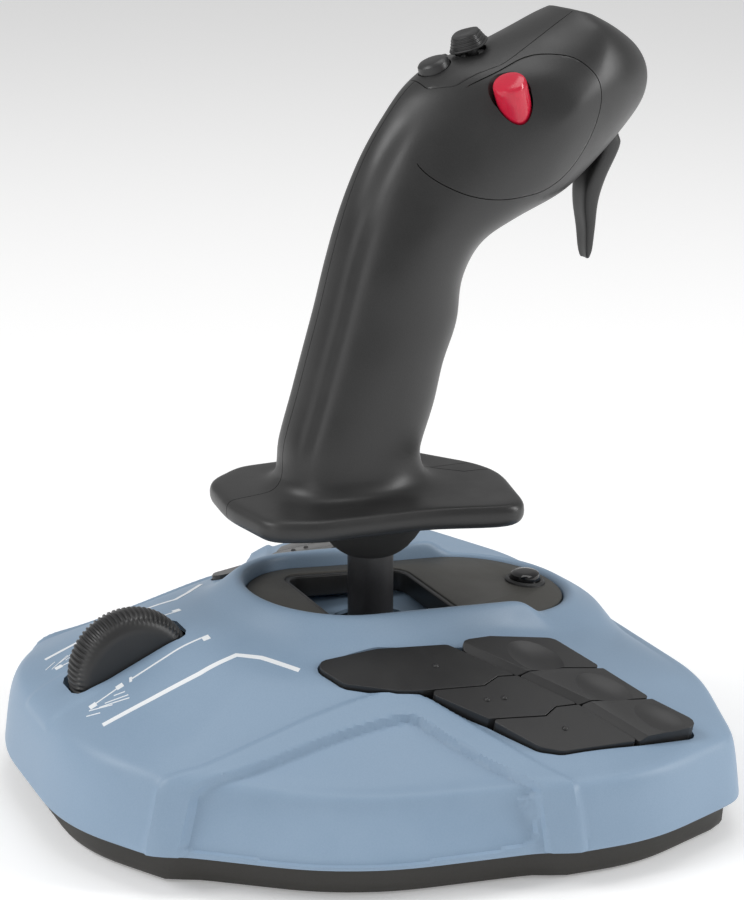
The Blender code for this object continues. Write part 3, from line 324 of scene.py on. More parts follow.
def rounded(corners, steps=8):
    """Outline through (x, y, radius) corners, anticlockwise."""
    outline = []
    for i, (x, y, radius) in enumerate(corners):
        here = Vector((x, y))
        before = Vector(corners[i - 1][:2]) - here
        after = Vector(corners[(i + 1) % len(corners)][:2]) - here
        half = before.angle(after) / 2
        reach = min(radius / math.tan(half), 0.49 * before.length, 0.49 * after.length)
        radius = reach * math.tan(half)
        start = here + before.normalized() * reach
        end = here + after.normalized() * reach
        centre = here + (before.normalized() + after.normalized()).normalized() * radius / math.sin(half)
        a = start - centre
        turn = a.angle_signed(end - centre)
        for k in range(steps + 1):
            outline.append(centre + Matrix.Rotation(-turn * k / steps, 2) @ a)
    return outline


def mirrored(half):
    """The whole outline from its right-hand corners."""
    return half + [(-x, y, r) for x, y, r in reversed(half)]


def grow(outline, distance):
    """The outline moved outwards, or inwards with a negative distance."""
    moved = []
    count = len(outline)
    for i in range(count):
        here = Vector(outline[i])
        before = (here - Vector(outline[i - 1])).normalized()
        after = (Vector(outline[(i + 1) % count]) - here).normalized()
        normal = Vector((before.y, -before.x)) + Vector((after.y, -after.x))
        spread = max(1.0 + before.dot(after), 0.3)
        moved.append(here + normal * distance / spread)
    return moved


def radius_at(outline, angle, centre=(0.0, 0.0)):
    """How far the outline lies from the centre in that direction."""
    heading = Vector((math.cos(angle), math.sin(angle)))
    best = 0.0
    for i, point in enumerate(outline):
        a = Vector(outline[i - 1]) - Vector(centre)
        side = Vector(point) - Vector(outline[i - 1])
        slope = heading.x * side.y - heading.y * side.x
        if abs(slope) < 1e-9:
            continue
        reach = (a.x * side.y - a.y * side.x) / slope
        share = (a.x * heading.y - a.y * heading.x) / slope
        if reach > 0 and -1e-6 <= share <= 1 + 1e-6:
            best = max(best, reach)
    return best


def distance_in(outline, x, y):
    """Signed distance to a closed outline, positive inside."""
    best = 1e9
    inside = False
    for i in range(len(outline)):
        ax, ay = outline[i - 1]
        bx, by = outline[i]
        dx, dy = bx - ax, by - ay
        share = min(max(((x - ax) * dx + (y - ay) * dy) / (dx * dx + dy * dy + 1e-12), 0.0), 1.0)
        best = min(best, math.hypot(x - ax - share * dx, y - ay - share * dy))
        if (ay > y) != (by > y) and x < ax + (y - ay) * dx / dy:
            inside = not inside
    return best if inside else -best


def ease(value, low, high):
    t = min(max((value - low) / (high - low), 0.0), 1.0)
    return t * t * (3 - 2 * t)


# ---- base shell ----
HEADING_STEPS = 150
WALL = 2.4
FLARE = 3.0
FOOT_Z = 10.0
RIM_Z = 28.0
RIM = rounded(mirrored([
    (28.0, -104.7, 60.0), (54.4, -89.2, 4.0), (59.3, -80.5, 4.0), (86.3, -47.1, 90.0), (96.6, 1.2, 3.0),
    (100.9, 9.9, 3.0), (103.8, 32.0, 60.0), (94.8, 66.0, 8.0), (55.0, 81.5, 60.0)]))
COLLAR_HALF = 28.0
COLLAR = rounded(mirrored([(COLLAR_HALF, -40.0, COLLAR_HALF), (COLLAR_HALF, 64.0, COLLAR_HALF)]), steps=16)
COLLAR_BAND = 10.0
COLLAR_WALL = 2.0
LEDGE = 3.0
PLATE_THICKNESS = 2.4
GAP = 0.3
GLAND_Z = 18.0
GLAND_FACE_Y = 81.6
GLAND_BORE = 5.3        # radius of the hole in the rear wall
AXLE_BORE = 1.85        # radius of the holes for the wheel's axle and the trigger's pin
HEADINGS = [math.radians(-90) + 2 * math.pi * i / HEADING_STEPS for i in range(HEADING_STEPS)]


def plate_z(y):
    return 49.0 - 0.10 * y


def crest_z(y):
    drop = ease(y, 34.0, 41.0)
    return (53.6 - 0.085 * y) * (1 - drop) + (plate_z(y) + 0.8) * drop


def by_heading(angle, front, side, rear):
    s = math.sin(angle)
    return side + (front - side) * s ** 4 if s < 0 else side + (rear - side) * s ** 2


def side_share(angle):
    """How far a heading lies within the part of the side wall that leans in, 0 to 1."""
    turn = math.degrees(math.asin(math.sin(angle)))
    return math.cos(math.radians(90) * min(abs(turn + 30.0) / 45.0, 1.0)) ** 2


def shell_section(angle):
    """Closed (radius, height) section of the shell at a heading, from the foot over the top and back."""
    outline = radius_at(RIM, angle)
    collar = radius_at(COLLAR, angle)
    lean = side_share(angle)
    rim = outline - 8.5 * lean
    rim_z = RIM_Z - 3.0 * lean
    top = by_heading(angle, 34.3, 29.8, 29.8) - 3.0 * lean
    foot = collar + COLLAR_BAND
    shoulder = rim + (foot - rim) * 0.72
    shoulder_z = by_heading(angle, 48.8, 40.2, 34.0) + 2.5 * lean
    foot_z = by_heading(angle, 51.3, 46.5, 37.5)
    crest = crest_z(collar * math.sin(angle))
    inside = collar - COLLAR_WALL
    ledge = plate_z(inside * math.sin(angle)) - PLATE_THICKNESS - GAP
    inner_ledge = plate_z((inside - LEDGE) * math.sin(angle)) - PLATE_THICKNESS - GAP
    start = rim - 5.0

    def along(share):
        """A point on the slope between the rim and the shoulder."""
        return start + (shoulder - start) * share, top + (shoulder_z - top) * share
    return [
        (outline + FLARE - 0.5, FOOT_Z), (outline + FLARE, FOOT_Z + 0.6),
        (outline + FLARE - 0.4, FOOT_Z + 3.0),
        ((outline + FLARE + rim + 1.0) / 2, (FOOT_Z + rim_z - 4.0) / 2 + 1.0),
        (rim + 1.0, rim_z - 3.5), (rim, rim_z), (rim - 1.8, rim_z + 0.7 * (top - rim_z)), (start, top),
        along(0.12), along(0.24), along(0.36), along(0.48), along(0.6), along(0.74), along(0.87),
        (shoulder, shoulder_z),
        ((shoulder + foot) / 2, (shoulder_z + foot_z) / 2), (foot, foot_z),
        (collar + 6.0, foot_z + 0.45 * (crest - foot_z)), (collar + 3.0, crest - 1.3),
        (collar + 1.0, crest), (collar - 0.8, crest), (inside, crest - 1.2),
        (inside, ledge + 0.5), (inside, ledge), (inside - LEDGE, inner_ledge),
        (inside - LEDGE, inner_ledge - 2.0), (collar + 1.0, ledge - 2.0),
        (foot, foot_z - WALL - 1.0), (shoulder, shoulder_z - WALL - 0.4), (start, top - WALL - 0.4),
        (rim + 1.0 - WALL, rim_z - 4.5), (outline + FLARE - WALL, FOOT_Z + 4.0),
        (outline + FLARE - WALL, FOOT_Z),
    ]


def rings_by_heading(section):
    sections = [section(angle) for angle in HEADINGS]
    return [[Vector((s[k][0] * math.cos(a), s[k][0] * math.sin(a), s[k][1]))
             for a, s in zip(HEADINGS, sections)] for k in range(len(sections[0]))]


# The raised V on each side: one band from the front corner up to its apex and down to the rear corner.
BAND_OUTER = [(58.0, -101.0), (52.7, -90.9), (51.3, -88.2), (52.2, -76.2), (51.3, -61.1), (50.7, -46.1),
              (50.9, -31.3), (51.2, -22.0), (53.0, -14.0), (57.4, -9.4), (65.4, -4.9), (77.3, 1.0),
              (89.4, 6.4), (98.9, 11.0), (103.9, 12.3), (125.0, 15.5)]
BAND_INNER = [(125.0, 6.0), (100.4, 3.0), (95.1, 2.0), (85.6, -3.7), (77.0, -8.1), (68.4, -12.6),
              (62.6, -15.7), (60.2, -18.5), (59.3, -27.0), (58.4, -37.9), (57.8, -52.3), (57.5, -66.8),
              (56.4, -79.4), (58.1, -82.1), (66.5, -93.0)]
BAND = BAND_OUTER + BAND_INNER
PANEL = list(reversed(BAND_INNER)) + [(130.0, -60.0)]
BAND_RISE = 1.2
PANEL_DROP = 1.0
BAND_EDGE = 0.7

KNOTS = {
    "tip": (35.8, -36.6), "tip_near": (46.6, -31.2), "waist": (53.6, -18.2), "near_1": (55.6, -11.4),
    "near_2": (71.2, 0.6), "near_3": (85.2, 8.6), "side_low": (88.6, 13.6), "side_high": (91.6, 36.2),
    "rear_corner": (92.8, 56.4), "rear_3": (79.0, 48.0), "rear_2": (63.8, 41.4), "rear_1": (48.0, 34.2),
    "far_high": (41.8, 17.0), "far_low": (40.4, 4.2), "far_tip": (36.0, -16.0), "mid_1": (58.0, 17.0),
    "mid_2": (73.6, 27.6), "jog_1_low": (59.0, 5.9), "jog_1_high": (56.8, 11.4),
    "jog_2_low": (74.9, 16.3), "jog_2_high": (72.6, 20.9), "rise_1": (60.2, 30.2), "rise_2": (75.8, 35.4),
}
KEYS = {
    "near_front": ["tip", "tip_near", "waist", "near_1", "jog_1_low", "jog_1_high", "mid_1", "far_low",
                   "far_tip"],
    "near_middle": ["near_1", "near_2", "jog_2_low", "jog_2_high", "mid_2", "mid_1", "jog_1_high",
                    "jog_1_low"],
    "near_rear": ["near_2", "near_3", "side_low", "side_high", "mid_2", "jog_2_high", "jog_2_low"],
    "far_front": ["far_low", "mid_1", "rise_1", "rear_2", "rear_1", "far_high"],
    "far_middle": ["mid_1", "mid_2", "rise_2", "rear_3", "rear_2", "rise_1"],
    "far_rear": ["mid_2", "side_high", "rear_corner", "rear_3", "rise_2"],
}
EDGE = ["tip", "tip_near", "waist", "near_1", "near_2", "near_3", "side_low", "side_high", "rear_corner",
        "rear_3", "rear_2", "rear_1", "far_high", "far_low", "far_tip"]
EDGE_ROUND = {"tip": 3.0, "tip_near": 5.0, "waist": 5.0, "near_1": 1.5, "near_2": 1.0, "near_3": 6.0,
              "side_low": 6.0, "side_high": 1.0, "rear_corner": 2.5, "rear_3": 1.0, "rear_2": 1.0,
              "rear_1": 5.0, "far_high": 3.0, "far_low": 3.0, "far_tip": 10.0}
CLUSTER_FOOT = Vector((36.0, -30.0, 46.5))
SLOPE_X = -0.31
SLOPE_Y = 0.03
CLUSTER_NORMAL = Vector((-SLOPE_X, -SLOPE_Y, 1.0)).normalized()


def cluster_z(x, y):
    return CLUSTER_FOOT.z + SLOPE_X * (x - CLUSTER_FOOT.x) + SLOPE_Y * (y - CLUSTER_FOOT.y)


def cluster_outline(names, distance, fillet=0.5):
    corners = [(*KNOTS[name], EDGE_ROUND.get(name, fillet)) for name in names]
    return grow(rounded(corners, steps=4), distance)


POCKET = cluster_outline(EDGE, 0.35)
THROTTLE = Vector((0.0, -76.1, 39.4))
THROTTLE_RADIUS = 18.0
THROTTLE_HALF = 6.3
LIP_RISE = 0.6


def dress_shell(bm):
    """Raise the bands and the throttle slot's lip and sink the panels on the subdivided skin."""
    bm.normal_update()
    moves = []
    for vert in bm.verts:
        x, y, z = abs(vert.co.x), vert.co.y, vert.co.z
        if vert.normal.z < -0.2 or (vert.normal.z < 0.25 and vert.normal.x * vert.co.x < 0):
            continue
        move = 0.0
        if x > 40 and -112 < y < 20:
            band = distance_in(BAND, x, y)
            move += BAND_RISE * ease(band, -BAND_EDGE, BAND_EDGE)
            if vert.normal.z > 0.3:
                move -= PANEL_DROP * ease(distance_in(PANEL, x, y), -BAND_EDGE, BAND_EDGE)
        if x < 12 and vert.normal.z > 0.4 and y < -50:
            beside = 1.0 - ease(x, THROTTLE_HALF + 1.5, THROTTLE_HALF + 4.5)
            move += LIP_RISE * beside * (1.0 - ease(y, -92.0, -84.0))
        if move:
            moves.append((vert, vert.normal * move))
    for vert, move in moves:
        vert.co += move


def build_shell():
    shell = to_object("blue_base_shell", loft(rings_by_heading(shell_section), closed=True), "blue_abs")
    subdivide(shell, 2)
    bm = opened(shell.data)
    bmesh.ops.scale(bm, verts=bm.verts, vec=(1 / MM,) * 3)
    bmesh.ops.translate(bm, verts=bm.verts, vec=(0.0, -STICK_Y, 0.0))
    dress_shell(bm)
    place(bm)
    bm.to_mesh(shell.data)
    bm.free()
    cutters = []
    for side in (1, -1):
        outline = [(side * p.x, p.y) for p in POCKET]
        if side < 0:
            outline.reverse()
        cutters.append(prism(outline, 20.0, 70.0))
    room = THROTTLE_RADIUS + 0.9
    half = THROTTLE_HALF + 0.6
    slot = [(room - 3.0, -half), (room - 1.2, -half + 0.8), (room, -half + 3.2), (room, half - 3.2),
            (room - 1.2, half - 0.8), (room - 3.0, half)]
    cutters.append(turned(slot, 96, across(THROTTLE)))
    rear = frame_of((0.0, 84.5, GLAND_Z), (0.0, 1.0, 0.0), (0.0, 0.0, 1.0))
    cutters.append(bore(GLAND_BORE, rear))
    cut(shell, cutters)
    return fit(shell, "base", "base_shell")


# ---- tray, feet and screws ----
TRAY_INSET = 2.0
FOOT_SPOTS = [(44.0, -74.0), (72.0, 50.0)]
SCREW_SPOTS = [(24.0, -89.5), (81.0, -18.0)]


def tray_section(angle):
    edge = radius_at(RIM, angle) - TRAY_INSET
    top = FOOT_Z - GAP
    return [(edge - 4.0, 0.6), (edge - 2.0, 0.6), (edge - 0.7, 1.1), (edge, 2.4), (edge + 0.2, 5.5),
            (edge + 0.3, top - 0.4), (edge, top), (edge - 2.2, top), (edge - 2.5, top - 0.4),
            (edge - 2.6, 4.5), (edge - 6.0, 3.8)]


def both_sides(spots):
    return [(side * x, y) for x, y in spots for side in (1, -1)]


def build_tray():
    tray = to_object("tray_moulding", loft(rings_by_heading(tray_section)), "tray_abs")
    holes = []
    for x, y in both_sides(FOOT_SPOTS):
        holes.append(turned([(8.3, -1.0), (8.3, 1.9)], 48, Matrix.Translation((x, y, 0.0))))
    for x, y in both_sides(SCREW_SPOTS):
        holes.append(turned([(3.4, -1.0), (3.4, 2.2)], 32, Matrix.Translation((x, y, 0.0))))
    cut(tray, holes)
    bevel_sharp(tray, 0.25, 2, 50.0)
    fit(tray, "base", "base_tray")
    ends = ["front", "rear"]
    for i, (x, y) in enumerate(both_sides(FOOT_SPOTS)):
        hand = "right" if x > 0 else "left"
        profile = [(4.5, 0.0), (7.2, 0.0), (7.8, 0.35), (8.0, 0.9), (8.0, 1.6)]
        foot = to_object(f"rubber_foot_{ends[i // 2]}_{hand}",
                         turned(profile, 48, Matrix.Translation((x, y, 0.0))), "rubber")
        fit(foot, "base", f"foot_{ends[i // 2]}_{hand}")
    for i, (x, y) in enumerate(both_sides(SCREW_SPOTS)):
        hand = "right" if x > 0 else "left"
        node = f"screw_{ends[i // 2]}_{hand}"
        low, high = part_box(node)
        head = low.z / MM
        profile = [(1.2, head), (2.2, head + 0.15), (2.8, head + 0.7), (2.8, head + 1.1), (1.4, head + 1.1),
                   (1.4, high.z / MM)]
        screw = to_object("pan_head_" + node, turned(profile, 32, Matrix.Translation((x, y, 0.0))), "zinc")
        slots = [prism([(x - a, y - b), (x + a, y - b), (x + a, y + b), (x - a, y + b)], head - 1.0,
                       head + 0.7) for a, b in ((1.6, 0.28), (0.28, 1.6))]
        cut(screw, slots)
        fit(screw, "base", node)


# ---- collar plate, lamp and well ----
WELL = rounded(mirrored([(20.5, -21.0, 6.0), (20.5, 21.0, 6.0)]), steps=10)
LAMP_Y = 53.0


def build_plate():
    outer = [Vector((math.cos(a), math.sin(a))) * (radius_at(COLLAR, a) - COLLAR_WALL - 0.25)
             for a in (2 * math.pi * i / 144 for i in range(144))]
    plate = to_object("collar_plate_moulding", prism(outer, -PLATE_THICKNESS, 0.0), "plate_abs")
    cut(plate, [prism(grow(WELL, -0.2), -20.0, 20.0)])
    over_lamp = Matrix.Translation((0.0, LAMP_Y, 0.0))
    cut(plate, [bore(4.9, over_lamp, 48)])
    bevel_sharp(plate, 0.5, 3, 40.0)
    skirt = to_object("well_skirt", prism(grow(WELL, 0.1), -7.0, -0.4), "grip_abs")
    cut(skirt, [prism(grow(WELL, -1.8), -20.0, 20.0)])
    bevel_sharp(skirt, 0.6, 3, 40.0)
    lip = [(4.65, -1.0), (6.3, -0.3), (6.1, 0.5), (5.5, 1.0), (4.9, 0.9), (4.65, 0.6)]
    bezel = to_object("lamp_bezel", turned(lip, 64, over_lamp, ring=True), "grip_abs")
    for piece in (plate, skirt, bezel):
        for vert in piece.data.vertices:
            vert.co.z += plate_z(vert.co.y / MM - STICK_Y) * MM
    fit(plate, "base", "collar_plate")
    fit(skirt, "base")
    fit(bezel, "base")
    top = plate_z(LAMP_Y)
    dome = [(4.5, top - 3.0), (4.55, top + 1.6), (4.3, top + 2.6), (3.6, top + 3.1), (2.2, top + 3.3)]
    lamp = to_object("lamp_lens", turned(dome, 64, over_lamp), "smoked_pc")
    fit(lamp, "base", "status_lamp")


# ---- base keys ----
KEY_RISE = 1.3
KEY_DEPTH = 3.2
KEY_GAP = 0.17
FAR_STEP = 1.0          # the rear row stands this much higher
FACET_DROP = 0.7        # the facet along a rear key's front edge, and how it leans
FACET_RUN, FACET_RISE = 1.9, 2.6
FACETS = {"far_front": ("far_low", "mid_1"), "far_middle": ("mid_1", "mid_2"),
          "far_rear": ("mid_2", "side_high")}
DISH_DEPTH = 0.9
DISH_BOWL = 6.0         # height of the bowl that hollows a dish
DISH_TURN = math.radians(33)
DISHES = {"far_front": (54.0, 25.0, 8.6, 5.6), "far_middle": (71.6, 36.9, 8.4, 5.2),
          "far_rear": (86.4, 45.6, 7.4, 4.6)}
DOTS = {"near_front": [(47.8, -3.3)], "near_middle": [(64.3, 4.0), (65.2, 8.9)],
        "near_rear": [(81.0, 18.9)]}


def build_key(side, key):
    hand = "right" if side > 0 else "left"
    far = key.startswith("far")
    top = KEY_RISE + (FAR_STEP if far else 0.0)
    outline = cluster_outline(KEYS[key], -KEY_GAP, 0.6)
    bm = prism(outline, -KEY_DEPTH, top)
    if far:
        a, b = (Vector(KNOTS[name]) for name in FACETS[key])
        along = (b - a).normalized()
        inward = Vector((-along.y, along.x))
        tilt = Vector((-inward.x * FACET_RUN, -inward.y * FACET_RUN, FACET_RISE)).normalized()
        part = bmesh.ops.bisect_plane(bm, geom=bm.verts[:] + bm.edges[:] + bm.faces[:],
                                      plane_co=(a.x, a.y, KEY_RISE - FACET_DROP), plane_no=tilt,
                                      clear_outer=True)
        rim = [e for e in part["geom_cut"] if isinstance(e, bmesh.types.BMEdge)]
        bmesh.ops.contextual_create(bm, geom=rim)
        bmesh.ops.recalc_face_normals(bm, faces=bm.faces)
    dot = [(0.85, top - 0.3), (0.8, top + 0.2), (0.5, top + 0.55), (0.2, top + 0.65)]
    dots = [turned(dot, 20, Matrix.Translation((x, y, 0.0))) for x, y in DOTS.get(key, [])]
    made = to_object(f"{hand}_{key}_key", bm, "key_abs")
    bevel_sharp(made, 0.35, 3, 25.0)
    if key in DISHES:
        x, y, long, wide = DISHES[key]
        bowl = bmesh.new()
        bmesh.ops.create_uvsphere(bowl, u_segments=64, v_segments=40, radius=1.0)
        above = DISH_BOWL - DISH_DEPTH
        turn = Matrix.Rotation(DISH_TURN, 4, "Z")
        shape = (Matrix.Translation((x, y, top + DISH_BOWL - DISH_DEPTH)) @ turn
                 @ Matrix.Diagonal((long, wide, DISH_BOWL, 1.0)))
        stretch = 1 / math.sqrt(1 - (above / DISH_BOWL) ** 2)
        bmesh.ops.transform(bowl, matrix=shape @ Matrix.Diagonal((stretch, stretch, 1.0, 1.0)),
                            verts=bowl.verts)
        cut(made, [bowl])
    if dots:
        cut(made, dots, "UNION")
    for vert in made.data.vertices:
        x, y, z = vert.co.x / MM, vert.co.y / MM - STICK_Y, vert.co.z / MM
        point = Vector((x, y, cluster_z(x, y))) + CLUSTER_NORMAL * z
        vert.co = Vector((side * point.x, point.y + STICK_Y, point.z)) * MM
    if side < 0:
        made.data.flip_normals()
    fit(made, f"{hand}_{key}", f"{hand}_{key}_button", limit=math.radians(9))


# ---- throttle wheel ----
def build_throttle():
    ribs = 72
    count = ribs * 4
    half, outer = THROTTLE_HALF, THROTTLE_RADIUS
    levels = [(-half, 3.0, 0.0), (-half, 12.2, 0.0), (-6.25, 13.6, 0.0), (-6.0, 14.6, 0.0),
              (-5.5, 15.5, 0.0), (-4.9, 16.3, 0.25), (-4.0, 17.1, 0.55), (-2.4, 17.8, 0.6),
              (0.0, outer, 0.6), (2.4, 17.8, 0.6), (4.0, 17.1, 0.55), (4.9, 16.3, 0.25),
              (5.5, 15.5, 0.0), (6.0, 14.6, 0.0), (6.25, 13.6, 0.0), (half, 12.2, 0.0),
              (half, 3.0, 0.0)]
    rings = []
    for x, radius, notch in levels:
        ring = []
        for i in range(count):
            a = 2 * math.pi * i / count
            r = radius - (notch if i % 4 in (2, 3) else 0.0)
            ring.append(THROTTLE + Vector((x, r * math.cos(a), r * math.sin(a))))
        rings.append(ring)
    wheel = to_object("throttle_thumbwheel", loft(rings), "key_abs")
    cut(wheel, [bore(AXLE_BORE, across(THROTTLE))])
    fit(wheel, "throttle", "throttle_wheel")


# ---- grip ----
STATIONS = [
    (-28.0, 97.0, 13.5, 94.0, 17.0, 2.3), (-23.3, 113.0, 18.0, 108.0, 17.5, 2.3),
    (-19.8, 125.0, 21.0, 120.0, 18.0, 2.2), (-16.2, 137.0, 25.3, 131.5, 18.0, 2.2),
    (-13.0, 149.0, 27.0, 144.0, 18.5, 2.1), (-9.6, 160.5, 33.5, 153.8, 19.0, 2.0),
    (-5.8, 171.0, 45.5, 159.5, 20.0, 1.9), (-1.2, 180.8, 60.5, 165.3, 22.0, 1.8),
    (4.8, 190.0, 71.5, 173.5, 24.0, 1.7), (11.8, 198.2, 80.5, 182.5, 25.5, 1.7),
    (20.5, 203.8, 87.0, 191.0, 25.5, 1.7), (32.5, 207.5, 88.0, 199.0, 23.5, 1.7),
    (44.5, 211.8, 83.5, 206.3, 20.0, 1.8), (54.0, 215.5, 75.0, 212.3, 15.5, 1.9),
    (60.0, 218.0, 67.0, 216.3, 9.0, 2.0),
]
RING_STEPS = 96
BETWEEN = 4             # rings between two stations
REST_TOP_Z = 85.4
REST_BOTTOM_Z = 78.2
REST = rounded([
    (0.0, -46.0, 40.0), (22.5, -42.5, 8.0), (28.5, -30.0, 20.0), (32.5, 4.0, 60.0), (42.0, 30.0, 7.0),
    (6.0, 39.5, 25.0), (-22.0, 22.0, 15.0), (-28.0, -8.0, 30.0), (-28.5, -31.0, 10.0),
    (-20.0, -43.5, 10.0)])
REST_CENTRE = (0.0, -6.8)
REST_LOW_EDGE = [(9.0, 0.0), (3.2, 0.0), (1.4, 0.35), (0.4, 1.3), (0.0, 2.8)]   # inset, height
REST_HIGH_EDGE = [(0.0, 2.6), (0.5, 1.2), (1.7, 0.45), (3.4, 0.3)]              # inset, depth
GRIP_FILLET = [(7.5, 0.0), (5.2, 0.15), (3.3, 0.7), (1.9, 1.7), (0.9, 3.2), (0.2, 5.2)]
GRIP_FOOT = (-27.6, 85.0, 13.9, 85.0)


def spline(a, b, c, d, t):
    return 0.5 * (2 * b + (c - a) * t + (2 * a - 5 * b + 4 * c - d) * t * t
                  + (3 * b - a - 3 * c + d) * t ** 3)


def blend(rows, steps, start=0):
    """Rows of numbers with smooth ones between them, from the start row to the last."""
    last = len(rows) - 1
    blended = []
    for k in range(start, last):
        near = [rows[max(k - 1, 0)], rows[k], rows[k + 1], rows[min(k + 2, last)]]
        for step in range(steps):
            blended.append([spline(*values, step / steps) for values in zip(*near)])
    return blended + [list(rows[-1])]


def squared(angle, power):
    """Cosine and sine of an angle round a superellipse."""
    return [math.copysign(abs(part) ** power, part) for part in (math.cos(angle), math.sin(angle))]


def section(back_y, back_z, front_y, front_z, width, power, spread=0.0):
    back = Vector((0.0, back_y, back_z))
    front = Vector((0.0, front_y, front_z))
    centre = (back + front) / 2
    reach = (front - back) / 2
    reach *= 1 + spread / reach.length
    ring = []
    for i in range(RING_STEPS):
        c, s = squared(2 * math.pi * i / RING_STEPS, 2 / power)
        ring.append(centre + Vector(((width + spread) * s, 0.0, 0.0)) - reach * c)
    return ring


def groove_depth(point, share_back):
    """The hollow that runs up each side of the raised spine."""
    along = ease(point.z, 88.0, 104.0) * (1 - ease(point.z, 176.0, 196.0))
    lateral = math.exp(-((abs(point.x) - 8.6) / 1.9) ** 2)
    return 0.8 * along * lateral * ease(share_back, 0.15, 0.6)


def bulge(point):
    """The swelling on each side of the head, below its crest."""
    away = Vector((abs(point.x) - 24.0, point.y - 49.0, point.z - 188.0)).length
    return 1.5 * math.exp(-(away / 10.0) ** 2)


def grip_rings():
    base = GRIP_FOOT + STATIONS[0][4:]
    rings = []
    fillet = [section(base[0] - 0.15, REST_TOP_Z + rise, base[2] + 0.15, REST_TOP_Z + rise, base[4],
                      base[5], spread) for spread, rise in GRIP_FILLET]
    centre = Vector((*REST_CENTRE, 0.0))
    headings = [math.atan2(p.y - centre.y, p.x) for p in fillet[0]]
    reaches = [radius_at(REST, a, REST_CENTRE) for a in headings]

    def rest_ring(inset, z):
        return [centre + Vector(((r - inset) * math.cos(a), (r - inset) * math.sin(a), z))
                for a, r in zip(headings, reaches)]
    rings += [rest_ring(inset, REST_BOTTOM_Z + rise) for inset, rise in REST_LOW_EDGE]
    rings += [rest_ring(inset, REST_TOP_Z - depth) for inset, depth in REST_HIGH_EDGE]
    edge = rings[-1]
    for share in (0.4, 0.75):
        rings.append([a.lerp(b, share) for a, b in zip(edge, fillet[0])])
    rings += fillet
    above_rest = len(rings)
    rings += [section(*row) for row in blend([base] + STATIONS, BETWEEN, 1)]
    for ring in rings[above_rest:]:
        centre_point = sum(ring, Vector()) / len(ring)
        back = ring[0] - centre_point
        for point in ring:
            share = (point - centre_point).dot(back) / back.length_squared
            point.x += math.copysign(bulge(point), point.x) if abs(point.x) > 1.0 else 0.0
            if share > 0.1:
                inward = (centre_point - point).normalized()
                point += inward * groove_depth(point, share)
    return rings


MODULE = [(6.8, 183.2), (8.1, 178.3), (12.6, 174.2), (20.6, 170.4), (30.7, 168.4), (41.3, 168.6),
          (46.6, 169.6), (51.4, 172.0), (54.8, 175.5), (57.2, 180.5), (58.8, 187.5), (59.5, 194.0),
          (58.8, 199.5), (56.2, 203.8), (51.5, 206.8), (43.0, 207.0), (33.0, 203.6), (22.0, 199.0),
          (13.0, 193.5), (8.0, 188.0)]
TOP_NORMAL = Vector((0.0, -0.36, 0.933)).normalized()
HAT_FOOT = Vector((0.0, 31.5, 206.8))
CENTRE_FOOT = Vector((0.0, 20.3, 202.2))
BUTTON_FOOT = Vector((20.8, 33.4, 196.8))
BUTTON_NORMAL = Vector((0.29, -0.41, 0.865)).normalized()
BUTTON_ROOM = 5.3
BUTTON_SEAT = 7.4       # radius of the hollow that the thumb buttons stand in
TOP_PANEL = rounded(mirrored([(6.5, -19.0, 3.0), (11.6, -13.0, 5.0), (13.4, 1.0, 12.0), (7.8, 27.0, 3.0),
                              (6.2, 33.0, 2.0)]))
PANEL_BED = -4.0
MODULE_START = 13.6
TRIGGER_PIVOT = (0.0, 71.0, 186.5)
TRIGGER_SLOT = [(-6.3, 60.0), (6.3, 60.0), (6.3, 81.0), (-6.3, 81.0)]
LATCH_LINE = [(-8.8, 20.2), (0.4, 19.8), (7.2, 27.2), (8.0, 38.0)]
LINE_WIDTH = 0.35


def smooth_outline(points, steps=4):
    """A closed outline that runs smoothly through the points."""
    count = len(points)
    outline = []
    for i in range(count):
        a, b, c, d = (points[(i + k - 1) % count] for k in range(4))
        for step in range(steps):
            t = step / steps
            outline.append(Vector((spline(a[0], b[0], c[0], d[0], t), spline(a[1], b[1], c[1], d[1], t))))
    return outline


def side_prism(outline, side):
    """An outline in the y-z plane carried outwards along x."""
    rings = [[Vector((side * x, p[0], p[1])) for p in outline] for x in (MODULE_START, 45.0)]
    return loft(rings)


def anticlockwise(outline):
    area = sum(outline[i - 1][0] * outline[i][1] - outline[i][0] * outline[i - 1][1]
               for i in range(len(outline)))
    return outline if area > 0 else list(reversed(outline))


def half_of(bm, side, gap):
    bmesh.ops.bisect_plane(bm, geom=bm.verts[:] + bm.edges[:] + bm.faces[:], dist=1e-5,
                           plane_co=(side * gap, 0.0, 0.0), plane_no=(side, 0.0, 0.0), clear_inner=True)
    bmesh.ops.holes_fill(bm, edges=[e for e in bm.edges if len(e.link_faces) == 1], sides=0)
    bmesh.ops.triangulate(bm, faces=[f for f in bm.faces if len(f.verts) > 4])
    return bm


